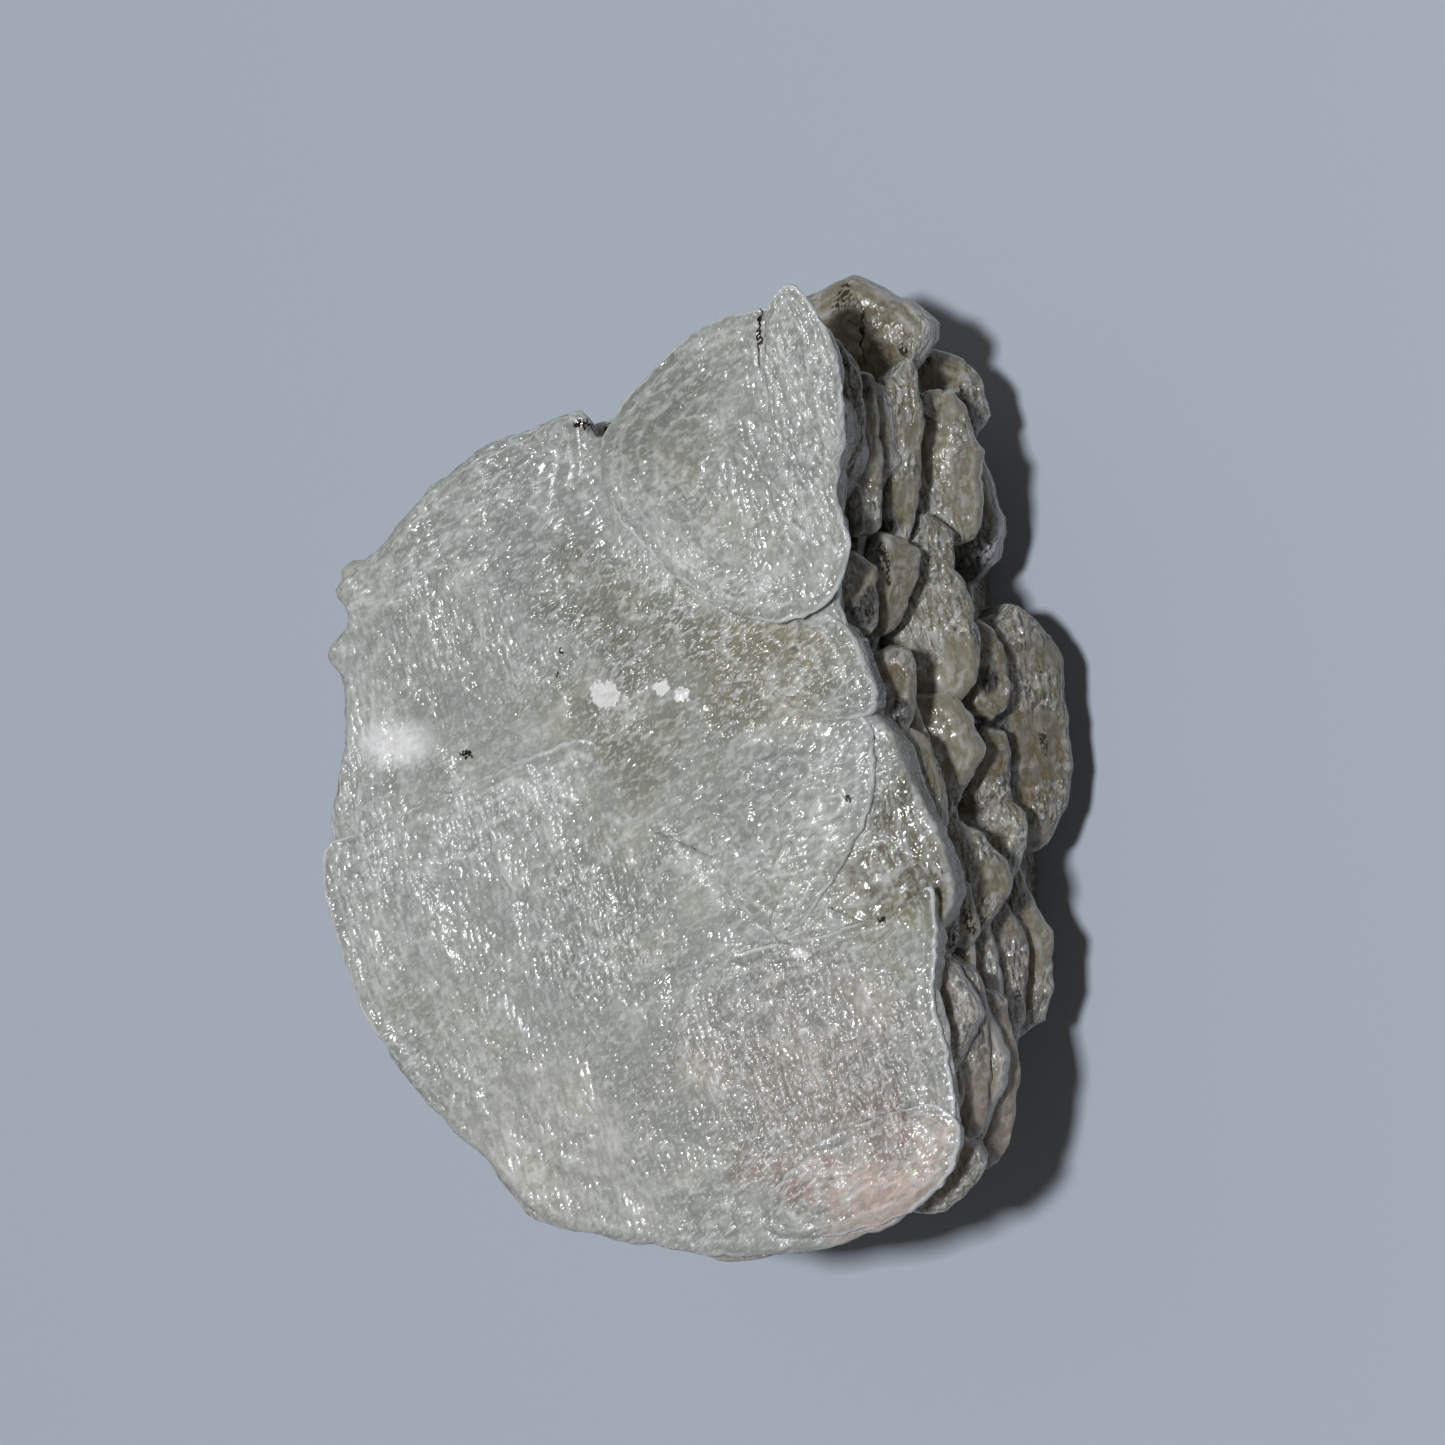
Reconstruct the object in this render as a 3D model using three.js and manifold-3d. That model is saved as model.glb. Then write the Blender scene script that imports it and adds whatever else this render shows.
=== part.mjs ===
// A tunellite crystal, about 40 mm long: a book of pale, rounded plates that grew into each other and
// make one stone. Broad sheets lie on top of each other from the flat cleavage face it rests on, Z = 0,
// up to the scales on its front. Smaller plates stand out of its edges like shingles.
// Millimetres, +Z up. The origin is the middle of the stone's box, on its underside.
import * as THREE from "three";
import { mergeVertices } from "three/addons/utils/BufferGeometryUtils.js";
import Module from "manifold-3d";

const wasm = await Module();
wasm.setup();

// ---- driving dimensions -------------------------------------------------------------------------
const THICKNESS = 24; // the whole book, from the cleavage face to the crest on its front
const BASE_TOP = 3.6; // top of the lowest sheet, which has the cleavage face
const LEAF_PITCH = 2.5; // from one leaf of the book to the next
const LEAF_COUNT = 7;
const LEAF = { thick: 3.1, rim: 0.7, crown: 0.2 };
const SCALLOP = 1.5; // depth of the rounded lobes in the rim of a leaf
const RIPPLE = 0.06; // share by which a small plate's outline leaves an oval
const SHEET_WAVE = 0.16; // how far a broad face rises and dips, in mm

const LEAF_SEGMENTS = 38; // points round the rim of a leaf
const SHEET_SEGMENTS = 26; // points round the rim of a broad sheet
const SCALE_SEGMENTS = 19; // points round a smaller scale or ledge
const PLATE_SEGMENTS = 13; // points round a plate in the edge of the book

// ---- the book -----------------------------------------------------------------------------------
// Outlines of the book at five heights, seen from the front. A leaf between two of them takes an
// outline between theirs.
const BOOK = [
  {
    height: 2,
    outline: [[-10.5, 5], [-8, 9.5], [-3, 12.5], [2, 14], [5, 12.6], [6.2, 9.5], [6.8, 6], [8.4, 2],
      [8.8, -4], [8, -9], [5.4, -13], [1, -15.6], [-4, -15.6], [-8.8, -12.6], [-11.5, -7], [-12, -1]],
  },
  {
    height: 6,
    outline: [[-12.2, 4], [-10, 8.3], [-4.8, 11.8], [-0.4, 15], [2.8, 16.8], [4.9, 17], [6.3, 15.8],
      [7.3, 13], [7.6, 9.5], [7.6, 6.2], [8.6, 3], [9.6, -3], [10, -6], [9.6, -9], [8, -12.5], [5, -15.2],
      [0, -16.8], [-5, -16.2], [-9.8, -12.4], [-12.4, -6], [-13, -1]],
  },
  {
    height: 10.5,
    outline: [[-13, 3], [-11, 7.8], [-6.2, 12], [-1, 15], [2.2, 17.4], [4.2, 18.2], [5.6, 17.8],
      [6.4, 16.4], [6.8, 14.4], [7, 11], [7.6, 6.6], [8.7, 2.4], [9.4, -3], [10.4, -6], [10.5, -9.6],
      [9.4, -13.4], [6, -16.4], [0.5, -18.2], [-5.6, -17.2], [-9.8, -14.2], [-12.6, -8.4], [-13.3, -3]],
  },
  {
    height: 14.5,
    outline: [[-13, 2], [-11, 7.4], [-6.8, 11.4], [-1.5, 13.9], [2.6, 15.8], [5.4, 16], [7, 14.6],
      [7.3, 11], [7.2, 7.4], [8.4, 4], [9.3, -1], [10.8, -5.4], [11.4, -10], [11.2, -14.2], [9, -17],
      [5, -18.6], [-0.5, -18.8], [-6, -18], [-9.6, -15.2], [-12.2, -10.4], [-13.2, -5]],
  },
  {
    height: 19,
    outline: [[-12.6, 2.5], [-11, 7.2], [-7, 11], [-2.6, 13.5], [0.6, 14.6], [3.4, 16], [6, 16.8],
      [7.6, 16], [8, 14.2], [7.6, 10.6], [7.9, 7], [9.2, 2.6], [9.8, -1.4], [11, -4.6], [11.4, -9],
      [11.7, -13.6], [10.6, -16.8], [7.6, -18.4], [3, -19.1], [-3, -18.6], [-6.8, -16.4],
      [-10.4, -12.2], [-12.2, -7.6], [-12.8, -3]],
  },
];

// The main sheet closes the book and carries the scales of the front. Like them, it is an outline, the
// height of its upper face at the outline's middle, its thickness, the slope of that face along X and Y
// in mm per mm, the radius of its worn rim, and how far the middle is domed.
const MAIN_SHEET = {
  top: 22.5, thick: 3.6, slope: [0.01, 0.01], rim: 0.8, crown: 0.3,
  outline: [[-12.7, 6.6], [-11.4, 8.5], [-9, 11], [-6.8, 12.7], [-4.5, 13.6], [-2.3, 14.2], [-1.7, 13.2],
    [0.8, 14.4], [4.5, 15.6], [8.4, 14.5], [8.8, 10.5], [8.9, 6.6], [10.1, 3.6], [10.4, 0.5],
    [10.2, -3], [7.4, -6.4], [1, -9.8], [-5.6, -13.4], [-9, -13.2], [-11.2, -11], [-12.7, -6.8],
    [-13.3, -2.6], [-12.9, 1.2]],
};

// ---- scales and ledges of the front -------------------------------------------------------------
const SCALES = [
  {
    // the lower sheet, which slopes away to the lower right
    top: 20.7, thick: 3.4, slope: [-0.1, 0.12], rim: 0.5, crown: 0.25,
    outline: [[-0.8, -9.8], [1.9, -8.7], [4.5, -7.6], [8.3, -6.5], [11, -5.6], [12.4, -4.7], [12.5, -7.2],
      [12.2, -9.4], [13, -13], [12.8, -15.6], [10, -18.2], [6.5, -19.2], [2.6, -19.5], [-1.5, -19],
      [-4.6, -18.2], [-7, -15.9], [-4.2, -12]],
  },
  {
    // the lower left sheet, cut off along a straight cleavage edge at its top
    top: 22.35, thick: 1.9, slope: [0, 0.07], rim: 0.3, crown: 0.35,
    outline: [[-13.3, -3.2], [-10.8, -2.2], [-8.4, -1.2], [-6, -0.3], [-3.8, 0.4], [-1.2, -0.1], [0.8, -1.7],
      [2.6, -4.1], [5.3, -6.6], [3.2, -8.2], [0.1, -9.8], [-3.6, -12.6], [-6.3, -15.8], [-9.2, -13.6],
      [-11.8, -11], [-12.9, -7.8], [-13.6, -4.8]],
  },
  {
    // the band above that edge
    top: 22.85, thick: 1.2, slope: [0.02, -0.02], rim: 0.25, crown: 0.15,
    outline: [[-12.4, 1.2], [-11.8, 4.6], [-9.6, 7.6], [-6, 9.2], [-3, 9], [-1.2, 7], [0.6, 4.8], [2.4, 3.4],
      [1.6, 1.6], [-2.4, 1.4], [-6.8, 0.4], [-9.8, -0.6]],
  },
  {
    // the upper scale
    top: 23.6, thick: 2.6, slope: [0, -0.02], rim: 0.35, crown: 0.25,
    outline: [[-1, 11.8], [-0.7, 13.4], [1, 15.5], [3.1, 17.1], [5.4, 18], [7.4, 18.2], [9.1, 16.4],
      [9.3, 13.5], [9.1, 11.2], [9.7, 9], [9.2, 7], [7.7, 5.9], [5.5, 5.9], [3.1, 7], [0.6, 9], [-0.6, 10.5]],
  },
  {
    // the crest on its right, beyond the crack; its lower end sinks into the scale
    top: THICKNESS - 0.2, thick: 3.2, slope: [0.01, 0.05], rim: 0.3, crown: 0.1,
    outline: [[6.4, 16.8], [6.7, 18.3], [7.6, 19], [8.6, 18], [9.4, 16.5], [9.6, 13.8], [9.4, 11.6],
      [8.5, 10.2], [7.4, 10.6], [6.5, 13.4]],
  },
  {
    // the shield-shaped scale right of the middle
    top: 23.3, thick: 1.8, slope: [-0.03, 0.03], rim: 0.35, crown: 0.3,
    outline: [[2.4, 1.6], [5.4, 2.5], [8.4, 2.4], [10.3, 1.8], [10.7, -1], [10.1, -3.2], [8.4, -5.2],
      [6.5, -6.5], [4.3, -5.4], [2.5, -3.4], [1.3, -1.4], [1.2, 0.4]],
  },
  {
    // the rough ground between the shield and the upper scale
    top: 23, thick: 1.4, slope: [0, 0.02], rim: 0.4, crown: 0.1,
    outline: [[2.8, 5.4], [5, 6.3], [8, 6.2], [9, 5.4], [10, 3.6], [10.1, 2.2], [6.6, 1.9], [3.6, 2.6]],
  },
  {
    // the face that falls away to the right, below the shield
    top: 20.9, thick: 3.4, slope: [-0.34, 0.06], rim: 0.4, crown: 0.2,
    outline: [[5.6, -6.4], [7.8, -3.4], [9.4, 0.4], [10.4, 1], [11.4, -0.4], [12.3, -2.4], [12.6, -4.9],
      [9.5, -6.2], [7.2, -7]],
  },
  {
    // the small scale at the lower right
    top: 20.95, thick: 2.2, slope: [-0.08, 0.1], rim: 0.35, crown: 0.2,
    outline: [[4.8, -17.6], [5.9, -16], [7.4, -14.9], [9.9, -13.9], [12.2, -13.3], [13.2, -14.2],
      [13, -15.4], [12, -16.9], [9.6, -18.2], [6.8, -18.7], [5.2, -18.5]],
  },
];

// ---- plates in the edge of the book -------------------------------------------------------------
// Each is a rounded plate: its centre, half its width and height and its whole thickness, how far it
// is turned towards +X and leans towards +Y from lying flat, in degrees. Its place in the list gives
// its outline its own ripple.
const EDGE_PLATES = [
  // under the upper scale, from the front down: a stack of thick little plates seen on edge
  { at: [5.8, 13.1, 20.3], half: [3.2, 3.6], thick: 2.3, turn: 5, lean: 0 },
  { at: [5.6, 12.6, 17.8], half: [3.1, 3.2], thick: 2.6, turn: 8, lean: 2 },
  { at: [5.8, 13, 14.9], half: [3.2, 3.2], thick: 2.6, turn: 10, lean: -2 },
  { at: [5.4, 16.9, 11.8], half: [3.1, 3], thick: 2.4, turn: 14, lean: -4 },
  { at: [8.1, 11.5, 10.3], half: [2, 3.5], thick: 2.2, turn: 48, lean: 2 },
  { at: [7.4, 15.2, 9.2], half: [1.3, 1.2], thick: 1.7, turn: 22, lean: 12 },
  { at: [6.1, 11, 6.2], half: [3.1, 4.2], thick: 2.4, turn: 8, lean: -3 },
  { at: [7.3, 6.9, 19.3], half: [2, 1.6], thick: 2.1, turn: 10, lean: 4 },
  { at: [7.2, 7.5, 16.6], half: [2.1, 1.9], thick: 2.3, turn: 14, lean: -4 },
  // beside the shield: two long plates that overlap, with small ones behind them
  { at: [8.5, 5.3, 12.7], half: [2, 3.1], thick: 2.2, turn: 44, lean: 8 },
  { at: [9, 1.1, 12.9], half: [2.1, 3.6], thick: 2.2, turn: 42, lean: -6 },
  { at: [9.6, 3.8, 9.6], half: [1.4, 2], thick: 1.9, turn: 42, lean: 4 },
  { at: [9.6, -0.3, 9.3], half: [1.6, 2], thick: 1.9, turn: 34, lean: -8 },
  { at: [8.5, 2.2, 17.8], half: [1.8, 2.8], thick: 2.2, turn: 30, lean: -2 },
  { at: [9, -1.6, 17.4], half: [2.2, 3.4], thick: 2.3, turn: 40, lean: 4 },
  // the big plate whose bulge is the widest point of this side
  { at: [9.5, 1.2, 6.4], half: [3, 5.3], thick: 2.9, turn: 56, lean: 0 },
  // between the shield and the lower sheet
  { at: [10, -3, 9.1], half: [2, 2.1], thick: 2, turn: 16, lean: 12 },
  { at: [10.2, -4.4, 13.4], half: [2, 2.4], thick: 2.2, turn: 32, lean: -8 },
  { at: [10.8, -6, 14.8], half: [1.1, 1.3], thick: 1.5, turn: 35, lean: 0 },
  { at: [10.3, -6.2, 17], half: [1.9, 1.7], thick: 2.1, turn: 14, lean: 4 },
  // the edge of the lower sheet
  { at: [9.6, -10.4, 17.4], half: [3.2, 4], thick: 2.2, turn: 8, lean: 3 },
  { at: [9.7, -11.7, 14.9], half: [3.3, 4.4], thick: 2.3, turn: 11, lean: -3 },
  { at: [9.2, -15, 16.6], half: [3.4, 2.8], thick: 2.2, turn: 12, lean: -10 },
  { at: [9.2, -9.4, 11.9], half: [2.8, 4.2], thick: 2.3, turn: 14, lean: -4 },
  { at: [9.4, -8.1, 7.6], half: [2.4, 4], thick: 2.5, turn: 26, lean: -4 },
  { at: [7.6, -13.4, 9.2], half: [2.8, 3.2], thick: 2.6, turn: 20, lean: -12 },
  // two small plates that show past the left of the front
  { at: [-12.4, 7.2, 19.6], half: [1.9, 1.7], thick: 1.8, turn: -14, lean: 10 },
  { at: [-12.6, 4.4, 18.6], half: [2, 1.5], thick: 1.8, turn: -20, lean: -6 },
];

// ---- how a plate is made ------------------------------------------------------------------------

// A gentle swell over a broad face, so that no sheet is dead flat: the product of two waves, about
// 19 and 25 mm long, that cross each other.
function swell(x, y) {
  return SHEET_WAVE * Math.sin(0.29 * x + 0.17 * y) * Math.cos(0.23 * y - 0.09 * x);
}

// The rings of a plate from its lower middle over the rim to its upper middle. A ring lies at a share
// of the way out to the outline, then `inset` mm back from it, `height` mm above the upper rim.
function sheetRings(thick, rim, crown) {
  return [
    { share: 0, inset: 0, height: -thick },
    { share: 1, inset: 0.7 * rim, height: -thick },
    { share: 1, inset: 0, height: -0.5 * thick },
    { share: 1, inset: 0.2 * rim, height: -0.55 * rim },
    { share: 1, inset: rim, height: 0 },
    { share: 0.6, inset: 0, height: 0.66 * crown },
    { share: 0, inset: 0, height: crown },
  ];
}

// The same for a small plate, which is rounded all the way round its edge.
function plateRings(thick) {
  return [
    { share: 0, inset: 0, height: -thick },
    { share: 1, inset: 0.36 * thick, height: -0.92 * thick },
    { share: 1, inset: 0, height: -0.52 * thick },
    { share: 1, inset: 0.26 * thick, height: -0.14 * thick },
    { share: 0.6, inset: 0, height: 0.06 * thick },
    { share: 0, inset: 0, height: 0.12 * thick },
  ];
}

// A lathe of unit radius, drawn out to an outline: each of its points is carried along the line from
// the middle to the outline, and lifted by the slope and swell of the face there.
function drawnOut(edge, middle, rings, lift) {
  const profile = rings.map((ring) => new THREE.Vector2(ring.share, ring.height));
  const lathe = new THREE.LatheGeometry(profile, edge.length);
  const position = lathe.getAttribute("position");
  for (let turn = 0; turn <= edge.length; turn++) {
    const spoke = edge[turn % edge.length].clone().sub(middle);
    const reach = spoke.length();
    rings.forEach((ring, j) => {
      const out = (ring.share * (reach - ring.inset)) / reach;
      const x = middle.x + spoke.x * out;
      const y = middle.y + spoke.y * out;
      position.setXYZ(turn * rings.length + j, x, y, ring.height + lift(x, y, ring));
    });
  }
  return lathe;
}

// A closed mesh as a solid: only its points are kept, equal ones are merged, and the triangles that
// have shrunk to a line at the middle of a face are dropped.
function solidOf(geometry) {
  const bare = geometry.clone();
  bare.deleteAttribute("normal");
  bare.deleteAttribute("uv");
  const merged = mergeVertices(bare, 1e-4);
  const triangles = [];
  for (let i = 0; i < merged.index.count; i += 3) {
    const [a, b, c] = merged.index.array.slice(i, i + 3);
    if (a !== b && b !== c && c !== a) triangles.push(a, b, c);
  }
  return new wasm.Manifold(
    new wasm.Mesh({
      numProp: 3,
      vertProperties: merged.attributes.position.array,
      triVerts: new Uint32Array(triangles),
    }),
  );
}

function middleOf(points) {
  return points.reduce((sum, p) => sum.add(p), new THREE.Vector3()).divideScalar(points.length);
}

// The smooth closed curve through an outline's points, counter-clockwise.
function curveOf(outline) {
  const corners = outline.map(([x, y]) => new THREE.Vector3(x, y, 0)).reverse();
  return new THREE.CatmullRomCurve3(corners, true, "centripetal");
}

// A sheet of any kind inside a rim of points.
function sheetIn(edge, { top, thick, slope, rim, crown }, flatBase = false) {
  const middle = middleOf(edge);
  const lift = (x, y, ring) => {
    if (flatBase && ring.height === -thick) return top;
    const tilt = slope[0] * (x - middle.x) + slope[1] * (y - middle.y);
    return top + tilt + swell(x, y);
  };
  return solidOf(drawnOut(edge, middle, sheetRings(thick, rim, crown), lift));
}

// The main sheet or one of the scales.
function sheet(one, segments) {
  return sheetIn(curveOf(one.outline).getSpacedPoints(segments).slice(0, segments), one);
}

// The book's outline at a height, between the two given outlines that lie nearest below and above it.
function bookRim(height) {
  const above = BOOK.findIndex((level) => level.height > height);
  const [lower, upper] = [BOOK[above - 1], BOOK[above]];
  const share = (height - lower.height) / (upper.height - lower.height);
  const [near, far] = [lower, upper].map((level) => curveOf(level.outline).getSpacedPoints(LEAF_SEGMENTS));
  return near.slice(0, LEAF_SEGMENTS).map((point, i) => point.clone().lerp(far[i], share));
}

// A leaf of the book. Its rim swells into rounded lobes with sharp notches between them, because it is
// grown together from smaller plates; each leaf has its own number of lobes, shifted round.
function leaf(i) {
  const top = BASE_TOP + LEAF_PITCH * (i + 0.6);
  const edge = bookRim(top - LEAF.thick / 2);
  const middle = middleOf(edge);
  const lobes = 9 + ((2 * i) % 5);
  edge.forEach((point, j) => {
    const wave = Math.abs(Math.sin((Math.PI * lobes * j) / LEAF_SEGMENTS + 1.9 * i));
    const spoke = point.clone().sub(middle);
    point.addScaledVector(spoke.normalize(), SCALLOP * (wave - 0.5));
  });
  const slope = [0.03 * Math.sin(2.3 * i), 0.025 * Math.cos(1.7 * i)];
  return sheetIn(edge, { top, slope, ...LEAF });
}

// A rounded plate in the edge of the book: an oval whose radius ripples by two and three waves.
function edgePlate({ at, half, thick, turn, lean }, number) {
  const edge = Array.from({ length: PLATE_SEGMENTS }, (_, i) => {
    const angle = (2 * Math.PI * i) / PLATE_SEGMENTS;
    const ripple = 1 + RIPPLE * Math.sin(2 * angle + number) + RIPPLE * Math.cos(3 * angle + 2 * number);
    return new THREE.Vector3(half[0] * ripple * Math.cos(angle), half[1] * ripple * Math.sin(angle), 0);
  });
  const plate = drawnOut(edge, new THREE.Vector3(), plateRings(thick), () => thick / 2);
  plate.rotateX(THREE.MathUtils.degToRad(-lean));
  plate.rotateY(THREE.MathUtils.degToRad(turn));
  plate.translate(...at);
  return solidOf(plate);
}

// ---- the stone ----------------------------------------------------------------------------------

const pieces = [
  sheetIn(bookRim(BOOK[0].height), { ...LEAF, top: BASE_TOP, thick: BASE_TOP, slope: [0.02, 0.01] }, true),
  ...Array.from({ length: LEAF_COUNT }, (_, i) => leaf(i)),
  sheet(MAIN_SHEET, SHEET_SEGMENTS),
  ...SCALES.map((one) => sheet(one, SCALE_SEGMENTS)),
  ...EDGE_PLATES.map(edgePlate),
];
const joined = pieces.reduce((stone, piece) => stone.add(piece));

// Plates that lean on each other close off small pockets. The real stone has grown solid there, so of
// the joined shells only the outer one is kept: a pocket's own shell is inside out, with a volume
// below zero.
const stone = joined.decompose().find((shell) => shell.volume() > 0);

// The stone's mesh, moved so that the middle of its box lies over the origin.
function centred(solid) {
  const mesh = solid.getMesh();
  const geometry = new THREE.BufferGeometry();
  geometry.setAttribute("position", new THREE.BufferAttribute(new Float32Array(mesh.vertProperties), 3));
  geometry.setIndex(new THREE.BufferAttribute(new Uint32Array(mesh.triVerts), 1));
  geometry.computeBoundingBox();
  const middle = geometry.boundingBox.getCenter(new THREE.Vector3());
  geometry.translate(-middle.x, -middle.y, 0);
  geometry.computeVertexNormals();
  return geometry;
}

const paleGreenGrey = new THREE.MeshStandardMaterial({ color: 0xb3b8ad, roughness: 0.35, metalness: 0 });
const crystal = new THREE.Mesh(centred(stone), paleGreenGrey);
crystal.name = "tunellite_crystal";

const part = new THREE.Group();
part.name = "tunellite";
part.add(crystal);

export default part;
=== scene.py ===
"""A tunellite crystal, about 40 mm long, lying on its flat cleavage face on a pale table.

The stone is a book of pale rounded plates that grew into each other. Every plate is worked out as a
fine grid, all of them are joined in one closed mesh, and the joined surface gets its growth lines.
The frame is in metres with +Z up. The stone is worked out in millimetres, and MM turns them to metres.
"""

import bmesh
import bpy
import numpy as np
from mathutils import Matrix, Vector


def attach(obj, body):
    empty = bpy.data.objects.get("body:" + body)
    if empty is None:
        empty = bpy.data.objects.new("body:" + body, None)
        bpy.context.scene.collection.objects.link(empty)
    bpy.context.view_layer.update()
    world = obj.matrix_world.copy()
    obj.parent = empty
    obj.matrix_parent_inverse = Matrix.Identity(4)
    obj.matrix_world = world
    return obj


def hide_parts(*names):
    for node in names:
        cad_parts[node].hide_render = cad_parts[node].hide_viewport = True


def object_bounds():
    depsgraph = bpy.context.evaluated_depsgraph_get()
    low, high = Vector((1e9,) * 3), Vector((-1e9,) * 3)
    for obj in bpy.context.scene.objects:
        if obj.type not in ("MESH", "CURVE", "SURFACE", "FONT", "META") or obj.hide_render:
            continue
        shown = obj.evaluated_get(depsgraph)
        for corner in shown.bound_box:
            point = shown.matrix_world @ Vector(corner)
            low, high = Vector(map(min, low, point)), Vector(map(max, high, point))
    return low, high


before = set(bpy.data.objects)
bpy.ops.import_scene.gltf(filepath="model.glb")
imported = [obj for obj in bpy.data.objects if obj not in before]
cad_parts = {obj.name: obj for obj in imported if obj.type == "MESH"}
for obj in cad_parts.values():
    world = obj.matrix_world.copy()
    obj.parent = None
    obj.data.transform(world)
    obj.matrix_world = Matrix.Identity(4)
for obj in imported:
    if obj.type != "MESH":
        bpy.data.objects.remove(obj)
cad_low, cad_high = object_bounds()

MM = 0.001

# ---- camera, table and light --------------------------------------------------------------------
# The stone lies on its back and the camera looks down on its front, leaning 24 degrees towards the
# edge of the book on its right. The table is matt and pale.
LOOK_FROM_RIGHT = np.radians(24)
CAMERA_DISTANCE = 350 * MM
CAMERA_TARGET = Vector((-0.08, 1.7, 12)) * MM
CAMERA_WIDTH = 59.245 * MM  # what the camera sees across, at its target

back = Vector((np.sin(LOOK_FROM_RIGHT), 0, np.cos(LOOK_FROM_RIGHT)))
camera_data = bpy.data.cameras.new("camera")
camera_data.lens = camera_data.sensor_width * CAMERA_DISTANCE / CAMERA_WIDTH
camera_data.clip_start = 0.01
camera = bpy.data.objects.new("camera", camera_data)
camera.location = CAMERA_TARGET + back * CAMERA_DISTANCE
camera.rotation_euler = (0, LOOK_FROM_RIGHT, 0)
bpy.context.scene.collection.objects.link(camera)
bpy.context.scene.camera = camera


def area_light(name, towards, distance, size, watts, colour):
    """A square lamp at a distance along a direction from the stone's middle, facing it."""
    data = bpy.data.lights.new(name, "AREA")
    data.size = size
    data.energy = watts
    data.color = colour
    lamp = bpy.data.objects.new(name, data)
    lamp.location = CAMERA_TARGET + Vector(towards).normalized() * distance
    lamp.rotation_euler = Vector(towards).to_track_quat("Z", "Y").to_euler()
    bpy.context.scene.collection.objects.link(lamp)


area_light("key", (0.19, 0.04, 0.98), distance=0.9, size=0.05, watts=7.2, colour=(0.98, 0.99, 1))
area_light("fill", (-0.7, 0.6, 1), distance=1.0, size=0.9, watts=0.4, colour=(1, 0.93, 0.82))

world = bpy.data.worlds.new("studio")
world.use_nodes = True
world.node_tree.nodes["Background"].inputs["Color"].default_value = (1, 0.94, 0.84, 1)
world.node_tree.nodes["Background"].inputs["Strength"].default_value = 0.11
bpy.context.scene.world = world
bpy.context.scene.view_settings.view_transform = "Standard"

TABLE_HALF = 1.5
floor_corners = [(x * TABLE_HALF, y * TABLE_HALF, 0) for x, y in ((-1, -1), (1, -1), (1, 1), (-1, 1))]
floor_mesh = bpy.data.meshes.new("floor")
floor_mesh.from_pydata(floor_corners, [], [(0, 1, 2, 3)])
floor = bpy.data.objects.new("floor", floor_mesh)
bpy.context.scene.collection.objects.link(floor)
floor_paint = bpy.data.materials.new("table")
floor_paint.use_nodes = True
floor_shader = floor_paint.node_tree.nodes["Principled BSDF"]
floor_shader.inputs["Base Color"].default_value = (0.36, 0.40, 0.47, 1)
floor_shader.inputs["Roughness"].default_value = 0.7
floor_mesh.materials.append(floor_paint)


# ---- the leaves of the book ---------------------------------------------------------------------
# Broad leaves of borate lie on top of each other from the cleavage face up. Each rim swells into
# rounded lobes, because it is grown together from smaller plates.
BASE_TOP = 3.6
LEAF_PITCH = 2.5
LEAF_COUNT = 7
LEAF_THICK = 3.1
LEAF_STAIN = 0.6
# how bright a highlight is painted along the leaves' rims
LEAF_RIM_HIGHLIGHT = 0.3
UNDER_FRONT = 0.6  # how far the leaves stay below the front
SCALLOP = 1.5
SHEET_WAVE = 0.16
FRONT_HEIGHT = 22.5
FALLEN_HEIGHT = 20.9  # the front's lower part, at its middle
FALLEN_MIDDLE = (5, -13)
BEND = 0.7  # how broadly the two planes of the front blend
BOOK_MIDDLE = (-0.7, -0.6)
BOOK_HEIGHTS = [2, 6, 10.5, 14.5, 19]
BOOK_OUTLINES = [
    [(-10.5, 5), (-8, 9.5), (-3, 12.5), (2, 14), (5, 12.6), (6.2, 9.5), (6.8, 6), (8.4, 2), (8.8, -4),
     (8, -9), (5.4, -13), (1, -15.6), (-4, -15.6), (-8.8, -12.6), (-11.5, -7), (-12, -1)],
    [(-12.2, 4), (-10, 8.3), (-4.8, 11.8), (-0.4, 15), (2.8, 16.8), (4.9, 17), (6.3, 15.8), (7.3, 13),
     (7.6, 9.5), (7.6, 6.2), (8.6, 3), (9.6, -3), (10, -6), (9.6, -9), (8, -12.5), (5, -15.2),
     (0, -16.8), (-5, -16.2), (-9.8, -12.4), (-12.4, -6), (-13, -1)],
    [(-13, 3), (-11, 7.8), (-6.2, 12), (-1, 15), (2.2, 17.4), (4.2, 18.2), (5.6, 17.8), (6.4, 16.4),
     (6.8, 14.4), (7, 11), (7.6, 6.6), (8.7, 2.4), (9.4, -3), (10.4, -6), (10.5, -9.6), (9.4, -13.4),
     (6, -16.4), (0.5, -18.2), (-5.6, -17.2), (-9.8, -14.2), (-12.6, -8.4), (-13.3, -3)],
    [(-13, 2), (-11, 7.4), (-6.8, 11.4), (-1.5, 13.9), (2.6, 15.8), (5.4, 16), (7, 14.6), (7.3, 11),
     (7.2, 7.4), (8.4, 4), (9.3, -1), (10.8, -5.4), (11.4, -10), (11.2, -14.2), (9, -17), (5, -18.6),
     (-0.5, -18.8), (-6, -18), (-9.6, -15.2), (-12.2, -10.4), (-13.2, -5)],
    [(-12.6, 2.5), (-11, 7.2), (-7, 11), (-2.6, 13.5), (0.6, 14.6), (3.4, 16), (6, 16.8), (7.6, 16),
     (8, 14.2), (7.6, 10.6), (7.9, 7), (9.2, 2.6), (9.8, -1.4), (11, -4.6), (11.4, -9), (11.7, -13.6),
     (10.6, -16.8), (7.6, -18.4), (3, -19.1), (-3, -18.6), (-6.8, -16.4), (-10.4, -12.2),
     (-12.2, -7.6), (-12.8, -3)],
]


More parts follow.
